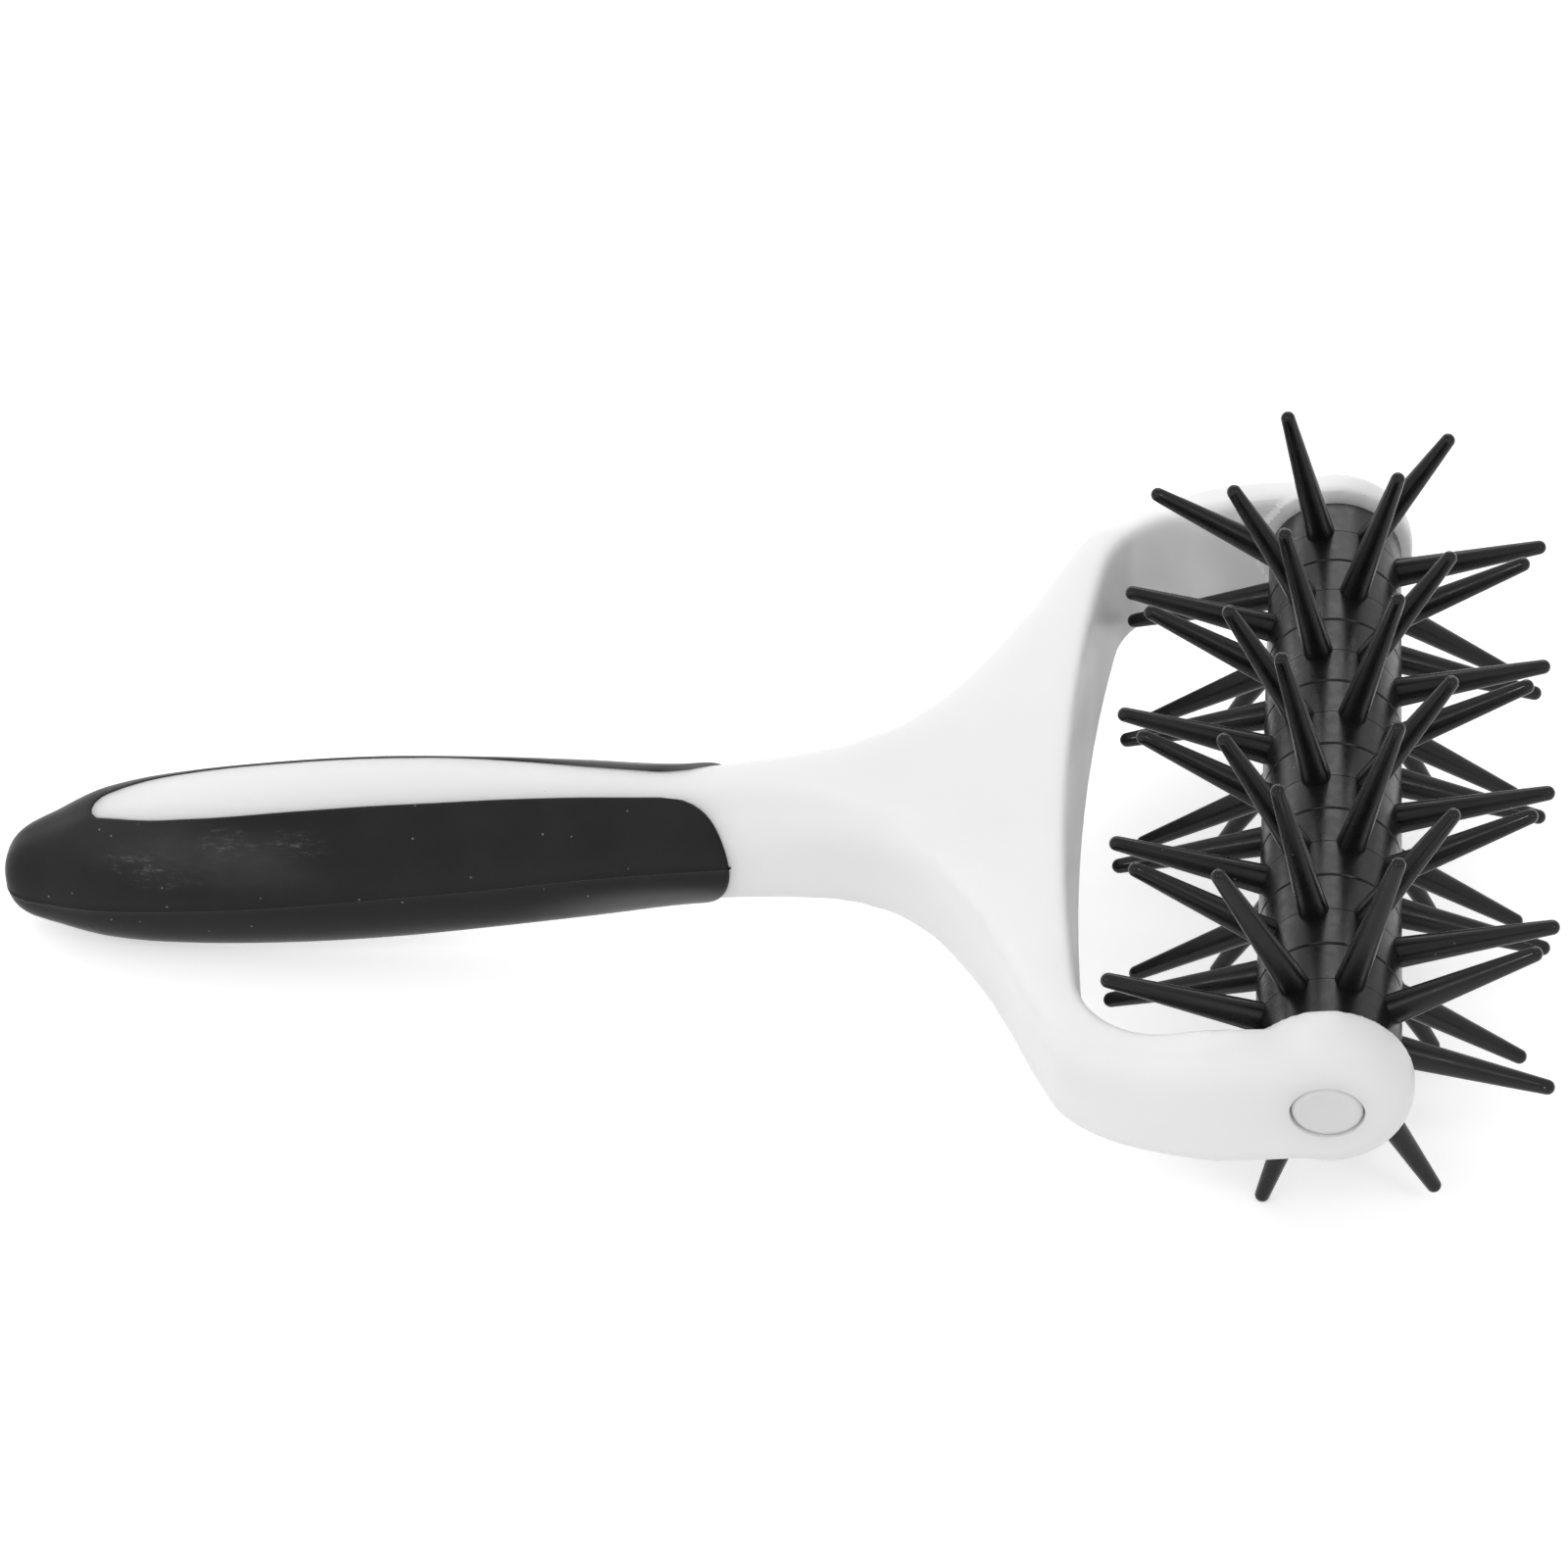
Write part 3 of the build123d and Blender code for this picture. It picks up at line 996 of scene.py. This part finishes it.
    def handle_rows(self) -> list[list[Point]]:
        """Rows of the handle's near half, from its end to the fork's root."""
        skin, shares = self.form.moulding(), self.root_shares()
        even = spread(0, 1, len(shares))
        places = [row[0] for row in self.form.grip_rows() if row[0] > 0.93 * self.form.reach]
        places += spread(self.form.root, 0.925 * self.form.reach, 44)
        rows = []
        for behind in sorted(places, reverse=True):
            section = Section(*skin.at(behind))
            section = section.shrunk(self.sunk * eased((behind - 70) / 12))
            drift = eased((behind - self.form.root) / 22)
            row = []
            for square, round_ in zip(shares, even):
                across, high = section.at(blend(square, round_, drift))
                row.append((-behind, across, high))
            rows.append(row)
        end = -rows[0][0][0] + 0.05 - self.sunk
        hang = skin.at(self.form.reach)[2]
        return [[(-end, 0.0, -hang)] * len(shares)] + rows

    def height_at(self, x: float) -> float:
        """Half height of the fork, which grows a little where an arm nears its boss."""
        return self.half_height + self.arm_rise * eased((x + 24) / 13)

    def fork_rows(self) -> list[list[Point]]:
        """Rows of the fork's near half, from its root to the axle."""
        rows = []
        middle = self.form.root - self.crotch_depth
        for share, place in self.ribs():
            outer, inward = self.flank_point(share)
            inner, outward = self.crotch_point(place)
            open_side = place >= middle - 0.01
            inner_top = inner + outward * (self.inner_round if open_side else 0)
            if open_side and abs(inner.y) < 0.01:
                inner_top = inner + Vector((-self.inner_round, 0))
            outer_top = outer + inward * self.outer_round
            column = []
            for part in spread(0, 1, self.top_columns):
                spot = inner_top.lerp(outer_top, part)
                column.append((spot.x, spot.y, self.height_at(spot.x)))
            for turn in spread(0, math.pi / 2, self.round_columns)[1:]:
                spot = outer_top - inward * self.outer_round * math.sin(turn)
                high = self.height_at(spot.x) - self.outer_round * (1 - math.cos(turn))
                column.append((spot.x, spot.y, high))
            side_top = self.height_at(outer.x) - self.outer_round
            for high in spread(side_top, 0, self.side_columns // 2 + 1)[1:]:
                column.append((outer.x, outer.y, high))
            rows.append(column + [(x, y, -z) for x, y, z in reversed(column[:-1])])
        return rows

    def wall_rows(self) -> list[list[Point]]:
        """Rows of the crotch's near wall with its rounded rims, from the middle to the axle."""
        rows = []
        middle = self.form.root - self.crotch_depth
        for share, place in self.ribs():
            if place < middle - 0.01:
                continue
            inner, outward = self.crotch_point(place)
            if abs(inner.y) < 0.01:
                outward = Vector((-1, 0))
            column = []
            for turn in spread(0, math.pi / 2, self.round_columns):
                spot = inner + outward * self.inner_round * (1 - math.sin(turn))
                high = self.height_at(spot.x) - self.inner_round * (1 - math.cos(turn))
                column.append((spot.x, spot.y, high))
            for high in spread(self.height_at(inner.x) - self.inner_round, 0, 4)[1:]:
                column.append((inner.x, inner.y, high))
            rows.append(column + [(x, y, -z) for x, y, z in reversed(column[:-1])])
        return rows

    def shell(self) -> bpy.types.Object:
        """The handle and the fork without its bosses, closed, both halves."""
        skin = Bench.sheet("skin", self.handle_rows() + self.fork_rows()[1:])
        wall = Bench.sheet("wall", self.wall_rows())
        body = Bench.join("yoke_moulding", skin, wall)
        Bench.modify(body, "MIRROR", use_axis=(False, True, False), use_clip=True,
                     merge_threshold=0.01)
        with Bench.editing(body) as mesh:
            Bench.pick(mesh, lambda co: co.x > -0.01)
            bpy.ops.mesh.edge_face_add()
            bpy.ops.mesh.select_all(action="SELECT")
            bpy.ops.mesh.normals_make_consistent(inside=False)
        return body

    def boss(self, side: Side) -> bpy.types.Object:
        """One domed boss, turned about the axle."""
        inner, outer = self.boss_inner, self.boss_outer
        profile = [(0.0, inner)]
        for turn in spread(0, math.pi / 2, 5):
            profile.append((self.boss_radius - self.boss_edge * (1 - math.sin(turn)),
                            inner + self.boss_edge * (1 - math.cos(turn))))
        for turn in spread(0, math.pi / 2, 13):
            profile.append((self.boss_radius - self.boss_dome * (1 - math.cos(turn)),
                            outer - self.boss_dome * (1 - math.sin(turn))))
        profile.append((0.0, outer))
        return Bench.lathe("boss", [(x, side.value * y, 0) for x, y in profile], 96)

    def soften(self, body: bpy.types.Object) -> None:
        """Make the moulding one even skin and blend the bosses into the arms."""
        Bench.modify(body, "REMESH", mode="VOXEL", voxel_size=self.grain)
        for name, count, test in (
                ("all", 2, lambda co: True),
                ("joint", 60, lambda co: -self.boss_radius - 3 < co.x < -2
                 and abs(co.y) > self.boss_inner + 0.6 and abs(co.z) > self.half_height - 2.2),
                ("flank", 40, lambda co: -66 < co.x < -44 and abs(co.y) > 8
                 and abs(co.z) < self.half_height - 1)):
            group = body.vertex_groups.new(name=name)
            group.add([vert.index for vert in body.data.vertices if test(vert.co)], 1.0,
                      "REPLACE")
            Bench.modify(body, "SMOOTH", vertex_group=name, factor=0.5, iterations=count)
        with Bench.editing(body) as mesh:
            for vert in mesh.verts:
                away = math.hypot(vert.co.x, vert.co.z) - self.boss_radius
                across = abs(vert.co.y) - self.boss_inner
                if 0 < away < 8 and vert.co.x < 0 and -0.4 < across < 2.4:
                    step = self.boss_step * (1 - eased(away / 8)) * (1 - eased(across / 2.4))
                    vert.co.y += math.copysign(step, vert.co.y)
                elif (abs(vert.co.z) < self.grain / 2 and vert.normal.x > 0.6
                      and -self.crotch_depth - 1 < vert.co.x < -self.boss_radius - 2):
                    vert.co.x += self.wall_seam
                vert.co.y = math.copysign(min(abs(vert.co.y), self.boss_outer), vert.co.y)

    def cutter(self, radius: float, start: float, end: float, sides: int
               ) -> bpy.types.Object:
        """A round bar along the axle, to cut a bore with."""
        Bench.clear()
        bpy.ops.mesh.primitive_cylinder_add(vertices=sides, radius=radius, depth=end - start,
                                            location=(0, (start + end) / 2, 0),
                                            rotation=(math.pi / 2, 0, 0))
        piece = Bench.named("cutter")
        Bench.settle(piece)
        return piece

    def build(self, tool: ToolSpace, grip: bpy.types.Object) -> bpy.types.Object:
        """Model the whole moulding.

        Args:
            tool: where the tool lies.
            grip: the finished grip, still in the tool's axes, whose room is cut out.

        Returns:
            The moulding in the row frame.
        """
        body = self.shell()
        for side in Side:
            Bench.combine(body, self.boss(side), "UNION")
        self.soften(body)
        over = 4.0
        for side in Side:
            start, end = sorted((side.value * (self.boss_inner - over),
                                 side.value * (self.boss_outer + over)))
            Bench.combine(body, self.cutter(self.bore_radius, start, end, 48), "DIFFERENCE")
            start, end = sorted((side.value * (self.boss_outer - self.cap_room_depth),
                                 side.value * (self.boss_outer + over)))
            room = self.cutter(self.cap_room_radius, start, end, 96)
            room.scale.z = self.cap_squash
            Bench.settle(room)
            Bench.turn(room, self.lean)
            Bench.combine(body, room, "DIFFERENCE")
        Bench.combine(body, grip, "DIFFERENCE", keep=True)
        Bench.smooth(body, 38)
        Bench.set_down(body, tool.matrix())
        return body


# The soft grip


@dataclass
class Grip:
    """The soft grip: one rubber shell round the handle, open along the spine."""

    form: HandleForm
    front: float = 81.05
    nose: float = 9.5
    nose_powers: Plan = (2.35, 1.8)
    burr: float = 0.35
    tail: float = 18.4
    thickness: float = 2.6
    core_end_clearance: float = 8.0
    rim_round: float = 0.55
    seam_rise: float = 0.2
    seam_width: float = 0.008
    columns: int = 33

    def column_shares(self) -> list[float]:
        """Shares across the near side from the spine's top edge to its bottom edge."""
        half = spread(0, 0.5 - self.seam_width, self.columns // 2)
        return half + [0.5] + [1 - share for share in reversed(half)]

    def places(self) -> list[float]:
        """Distances behind the axle where the rows lie, from the front to the end."""
        tail_start = self.form.reach - self.tail
        rows = spread(self.front + self.nose, tail_start, 34)
        rows += [tail_start + self.tail * math.sin(math.pi / 2 * share)
                 for share in spread(0, 1, 18)[1:]]
        return sorted(rows + [self.form.spine_end - 0.15, self.form.spine_end])

    def sheet_rows(self, draw_in: float, end: float) -> list[list[Point]]:
        """Rows of one surface of the near side.

        Args:
            draw_in: how far the surface lies under the skin.
            end: where the surface closes, behind the axle.

        Returns:
            Rows from the front edge to the closed end.
        """
        skin, rows = self.form.skin(), []
        stretch = (end - self.front) / (self.form.reach - self.front)
        lead = spread(0, 1, 7)[:-1]
        for ahead, behind in [(1 - share, self.front + self.nose) for share in lead] + [
                (0.0, place) for place in self.places()]:
            row = []
            for share in self.column_shares():
                power = self.nose_powers[share > 0.5]
                bulge = (1 - abs(2 * share - 1) ** power) ** (1 / power)
                place = behind - self.nose * bulge * ahead
                if abs(share - 0.5) < 0.001 and not draw_in:
                    place -= self.burr * ahead**8
                row.append(self.skin_point(skin, place, share, draw_in, stretch))
            rows.append(row)
        hang = skin.at(self.form.reach)[2]
        rows.append([(-end - (0.04 if not draw_in else 0), 0.0, -hang)] * len(rows[0]))
        return rows

    def skin_point(self, skin: Curve, place: float, share: float, draw_in: float,
                   stretch: float) -> Point:
        """One point of a surface of the grip."""
        section = Section(*skin.at(place))
        top = section.share_across(self.form.spine_edge(place))
        if draw_in:
            section = section.shrunk(min(draw_in, 0.75 * section.depth, 0.75 * section.width))
        round_ = blend(top, 1 - top, share)
        across, high = section.at(round_)
        if not draw_in and abs(share - 0.5) < 0.001:
            across -= self.seam_rise
        squeezed = self.front + (place - self.front) * stretch
        behind = blend(place, squeezed, eased((place - 150) / 25)) if draw_in else place
        return -behind, across, high

    def build(self) -> bpy.types.Object:
        """Model the grip in the tool's axes."""
        outer = Bench.sheet("outer", self.sheet_rows(0.0, self.form.reach))
        inner = Bench.sheet("inner", self.sheet_rows(self.thickness,
                                                     self.form.reach - self.core_end_clearance))
        for sheet in (outer, inner):
            Bench.modify(sheet, "MIRROR", use_axis=(False, True, False), use_clip=True,
                         merge_threshold=0.01)
        self.mark_rim(outer)
        Bench.select(inner, outer)
        bpy.ops.object.join()
        grip = Bench.named("grip_rubber")
        with Bench.editing(grip) as mesh:
            for edge in mesh.edges:
                edge.select = edge.is_boundary
            bpy.ops.mesh.bridge_edge_loops()
            bpy.ops.mesh.select_all(action="SELECT")
            bpy.ops.mesh.normals_make_consistent(inside=False)
        Bench.modify(grip, "BEVEL", limit_method="VGROUP", vertex_group="rim",
                     width=self.rim_round, segments=3, use_clamp_overlap=False)
        Bench.smooth(grip, 50)
        return grip

    def mark_rim(self, sheet: bpy.types.Object) -> None:
        """Remember the open edge of the skin, which is rounded later."""
        group = sheet.vertex_groups.new(name="rim")
        mesh = bmesh.new()
        mesh.from_mesh(sheet.data)
        rim = [vert.index for vert in mesh.verts if vert.is_boundary]
        mesh.free()
        group.add(rim, 1.0, "REPLACE")


# The roller


@dataclass
class Roller:
    """Eight spiked rings on one core."""

    pins: int = 8
    rings: int = 8
    ring_width: float = 13.6
    ring_gap: float = 0.16
    barrel_radius: float = 9.3
    rim_bevel: float = 0.2
    pin_circle: float = 29.0
    tip_radius: float = 1.0
    root_radius: float = 2.0
    sunk: float = 1.5
    core_across: float = 11.1
    seam_depth: float = 0.12
    seam_half_width: float = 0.07
    pin_seam_rise: float = 0.012
    pin_sides: int = 28
    lean_deg: float = 15.0

    def pin(self) -> bpy.types.Object:
        """One pin that stands up along z, with the mould's seam down both sides."""
        start, reach = self.barrel_radius - self.sunk, self.pin_circle
        slope = (self.root_radius - self.tip_radius) / (reach - self.barrel_radius)
        profile = [(0.0, start)]
        for share in (0.0, 0.08, 0.5, 0.93, 1.0):
            high = blend(start, reach, share)
            profile.append((self.tip_radius + slope * (reach - high), high))
        for turn in spread(0, math.pi / 2, 8)[1:]:
            profile.append((self.tip_radius * math.cos(turn) if turn < 1.57 else 0.0,
                            reach + self.tip_radius * math.sin(turn)))
        piece = Bench.lathe("pin", [(x, 0, z) for x, z in profile], self.pin_sides,
                            (0, 0, 1))
        with Bench.editing(piece) as mesh:
            Bench.pick(mesh, lambda co: abs(co.y) < 0.01 and abs(co.x) > 0.5
                       and co.z < reach + 0.2)
            for vert in mesh.verts:
                if vert.select:
                    vert.co.x += math.copysign(self.pin_seam_rise, vert.co.x)
        return piece

    def barrel(self) -> bpy.types.Object:
        """The ring's drum with bevelled rims and a fine seam round its middle."""
        half, radius = self.ring_width / 2, self.barrel_radius
        line = [(0.0, -half), (radius - self.rim_bevel, -half), (radius, self.rim_bevel - half),
                (radius, -self.seam_half_width), (radius - self.seam_depth, 0.0),
                (radius, self.seam_half_width), (radius, half - self.rim_bevel),
                (radius - self.rim_bevel, half), (0.0, half)]
        return Bench.lathe("drum", [(x, y, 0) for x, y in line], 96)

    def ring(self) -> bpy.types.Object:
        """One ring at the roller's middle, its first pin pointing straight down."""
        pin, pins = self.pin(), []
        for count in range(self.pins):
            copy = Bench.copy(pin, f"pin_{count}")
            Bench.turn(copy, 2 * math.pi * count / self.pins)
            pins.append(copy)
        bpy.data.objects.remove(pin)
        pins = Bench.join("pins", *pins)
        ring = self.barrel()
        Bench.combine(ring, pins, "UNION")
        Bench.clear()
        bpy.ops.mesh.primitive_cylinder_add(vertices=6, depth=self.ring_width * 1.5,
                                            radius=self.core_across / math.sqrt(3),
                                            rotation=(math.pi / 2, 0, 0))
        core = Bench.named("core_room")
        Bench.settle(core)
        Bench.combine(ring, core, "DIFFERENCE")
        Bench.smooth(ring, 22)
        return ring

    def build(self, tool: ToolSpace, palette: Palette) -> None:
        """Model the rings and set them down, ring 1 on the far side."""
        ring = self.ring()
        pitch = self.ring_width + self.ring_gap
        for number in range(1, self.rings + 1):
            lean = -self.lean_deg if number % 2 else self.lean_deg
            copy = Bench.copy(ring, f"docking_ring_{number}")
            Bench.turn(copy, math.radians(lean))
            middle = (self.rings + 1) / 2 - number
            Bench.slide(copy, (0, middle * pitch, 0))
            Bench.set_down(copy, tool.upright())
            palette.finish(copy, "spike_plastic", Body.ROLLER, f"spike_ring_{number}")
        bpy.data.objects.remove(ring)


# The axle's ends


@dataclass
class AxleEnds:
    """Dished caps in the bosses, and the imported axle, washers and bushes."""

    radius: float = 4.48
    depth: float = 2.4
    outer: float = 63.16
    edge: float = 0.65
    dish_radius: float = 3.6
    dish_depth: float = 0.4
    squash: float = 0.86

    def cap(self, side: Side) -> bpy.types.Object:
        """One cap: a plug whose face is a shallow bowl inside a rounded rim."""
        floor = self.outer - self.depth
        line = [(0.0, floor), (self.radius, floor), (self.radius, self.outer - self.edge)]
        for turn in spread(0, math.pi / 2, 4)[1:]:
            line.append((self.radius - self.edge * (1 - math.cos(turn)),
                         self.outer - self.edge * (1 - math.sin(turn))))
        for share in spread(1, 0, 12):
            line.append((self.dish_radius * share,
                         self.outer - self.dish_depth * (1 - share**2.2)))
        return Bench.lathe(f"pin_cap_{side.name.lower()}",
                           [(x, side.value * y, 0) for x, y in line], 96)

    def build(self, tool: ToolSpace, palette: Palette) -> None:
        """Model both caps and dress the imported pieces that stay."""
        for side in Side:
            cap = self.cap(side)
            cap.scale.z = self.squash
            Bench.settle(cap)
            Bench.smooth(cap, 40)
            Bench.set_down(cap, tool.upright())
            palette.finish(cap, "white_plastic", Body.FORK, f"axle_cap_{side.name.lower()}")
            # painted shade: the caps wear the darker copy of the white plastic
            palette.dress(cap, "cap_plastic")
        for entry in frame["record"]["subparts"]:
            node = frame["nodes"][entry["node"]]
            if not node.hide_render:
                palette.dress(node, entry["material_slot"])
                log.info("%s keeps its packed shape", node.name)


# The studio


@dataclass
class Studio:
    """A pale floor, soft lamps and the photograph's camera."""

    camera_place: Point = (0.064416, -0.574343, 0.485547)
    camera_turn_deg: Point = (51.6038, 1.3801, 5.0058)
    lens_mm: float = 125.384
    sensor_mm: float = 36.0
    floor_size: float = 8.0
    floor_colour: Point = (0.87, 0.87, 0.87)
    floor_lift: float = 0.5
    sky_above: float = 0.69
    sky_level: float = 0.89
    sky_front: float = 0.13
    sky_back: float = 0.22
    sky_left: float = 0.3
    sky_right: float = -0.36
    aim: Point = (0.03, 0.0, 0.02)
    lamps: tuple = (
        ("lamp_behind", (0.05, 0.78, 0.62), 0.9, (0.56, 0.3), 1.3),
        ("lamp_left", (-0.62, 0.76, 0.22), 0.9, (0.32, 0.2), 0.4),
        ("lamp_front_left", (-0.45, -0.6, 0.68), 0.8, (0.09, 0.09), 0.45),
        ("lamp_front_right", (0.5, -0.6, 0.68), 0.8, (0.09, 0.09), 0.38),
    )

    def floor(self) -> None:
        """A pale floor that reads white to the camera and keeps the soft shadow."""
        Bench.clear()
        bpy.ops.mesh.primitive_plane_add(size=self.floor_size)
        floor = Bench.named("floor")
        wiring = Wiring("floor")
        tree = wiring.tree
        tree.nodes.remove(wiring.shader)
        diffuse = wiring.add("ShaderNodeBsdfDiffuse")
        diffuse.inputs["Color"].default_value = (*self.floor_colour, 1)
        lift = wiring.add("ShaderNodeEmission")
        seen = self.seen(wiring.add)
        tree.links.new(seen[0], seen[1].inputs[0])
        share = wiring.add("ShaderNodeMath", operation="MULTIPLY")
        share.inputs[1].default_value = self.floor_lift
        tree.links.new(seen[1].outputs[0], share.inputs[0])
        tree.links.new(share.outputs[0], lift.inputs["Strength"])
        both = wiring.add("ShaderNodeAddShader")
        tree.links.new(diffuse.outputs[0], both.inputs[0])
        tree.links.new(lift.outputs[0], both.inputs[1])
        tree.links.new(both.outputs[0], tree.nodes["Material Output"].inputs["Surface"])
        floor.data.materials.append(wiring.material)

    def seen(self, add: Callable[..., bpy.types.Node]
             ) -> tuple[bpy.types.NodeSocket, bpy.types.Node]:
        """Light Path's camera ray, and a node that adds glossy and transmission rays to it."""
        path = add("ShaderNodeLightPath")
        tree = path.id_data
        first = add("ShaderNodeMath", operation="MAXIMUM")
        second = add("ShaderNodeMath", operation="MAXIMUM")
        tree.links.new(path.outputs["Is Glossy Ray"], first.inputs[0])
        tree.links.new(path.outputs["Is Transmission Ray"], first.inputs[1])
        tree.links.new(first.outputs[0], second.inputs[1])
        return path.outputs["Is Camera Ray"], second

    def sky(self) -> None:
        """Even soft light from all round, and a white background."""
        world = bpy.data.worlds.new("sky")
        world.use_nodes = True
        bpy.context.scene.world = world
        tree = world.node_tree
        background = tree.nodes["Background"]
        white = tree.nodes.new("ShaderNodeBackground")
        white.inputs["Color"].default_value = (1, 1, 1, 1)
        white.inputs["Strength"].default_value = 1.0
        background.inputs["Color"].default_value = (1, 1, 1, 1)

        def add(kind: str, **settings: object) -> bpy.types.Node:
            node = tree.nodes.new(kind)
            for name, value in settings.items():
                setattr(node, name, value)
            return node

        way = add("ShaderNodeSeparateXYZ")
        tree.links.new(add("ShaderNodeTexCoord").outputs["Generated"], way.inputs[0])
        total = None
        for axis, facing, start, end in (("Z", 1, self.sky_level, self.sky_above),
                                         ("Y", -1, 0, self.sky_front),
                                         ("Y", 1, 0, self.sky_back),
                                         ("X", -1, 0, self.sky_left),
                                         ("X", 1, 0, self.sky_right)):
            part = add("ShaderNodeMapRange")
            for name, value in (("From Min", 0), ("From Max", facing), ("To Min", start),
                                ("To Max", end)):
                part.inputs[name].default_value = value
            tree.links.new(way.outputs[axis], part.inputs["Value"])
            if total:
                both = add("ShaderNodeMath", operation="ADD")
                tree.links.new(total, both.inputs[0])
                tree.links.new(part.outputs["Result"], both.inputs[1])
                total = both.outputs[0]
            else:
                total = part.outputs["Result"]
        tree.links.new(total, background.inputs["Strength"])
        camera_ray, gather = self.seen(add)
        tree.links.new(camera_ray, gather.inputs[0])
        mix = add("ShaderNodeMixShader")
        tree.links.new(gather.outputs[0], mix.inputs[0])
        tree.links.new(background.outputs[0], mix.inputs[1])
        tree.links.new(white.outputs[0], mix.inputs[2])
        tree.links.new(mix.outputs[0], tree.nodes["World Output"].inputs["Surface"])

    def light(self) -> None:
        """Hang the soft lamps round the tool."""
        for name, way, distance, size, power in self.lamps:
            data = bpy.data.lights.new(name, "AREA")
            data.shape = "RECTANGLE"
            data.size, data.size_y = size
            data.energy = power
            lamp = bpy.data.objects.new(name, data)
            bpy.context.scene.collection.objects.link(lamp)
            way = Vector(way).normalized()
            lamp.location = Vector(self.aim) + way * distance
            lamp.rotation_euler = (-way).to_track_quat("-Z", "Y").to_euler()

    def shoot(self) -> None:
        """Set up the camera at the photograph's viewing angle."""
        data = bpy.data.cameras.new("camera")
        data.lens = self.lens_mm
        data.sensor_width = self.sensor_mm
        camera = bpy.data.objects.new("camera", data)
        bpy.context.scene.collection.objects.link(camera)
        camera.location = self.camera_place
        camera.rotation_euler = Euler([math.radians(turn) for turn in self.camera_turn_deg])
        bpy.context.scene.camera = camera
        bpy.context.scene.view_settings.view_transform = "Standard"

    def build(self) -> None:
        """Set up the whole studio."""
        self.floor()
        self.sky()
        self.light()
        self.shoot()


def main() -> None:
    """Build the dough docker and its studio."""
    logging.basicConfig(level=logging.INFO, format="%(name)s: %(message)s")
    tool = ToolSpace.from_frame()
    palette = Palette.mixed(tool)
    form = HandleForm()
    grip = Grip(form).build()
    moulding = Moulding(form, tool.lean).build(tool, grip)
    Bench.set_down(grip, tool.matrix())
    palette.finish(moulding, "white_plastic", Body.FORK, "yoke_frame")
    palette.finish(grip, "grip_rubber", Body.FORK, "grip_overmould")
    Roller().build(tool, palette)
    AxleEnds().build(tool, palette)
    Studio().build()


if __name__ == "__main__":
    main()
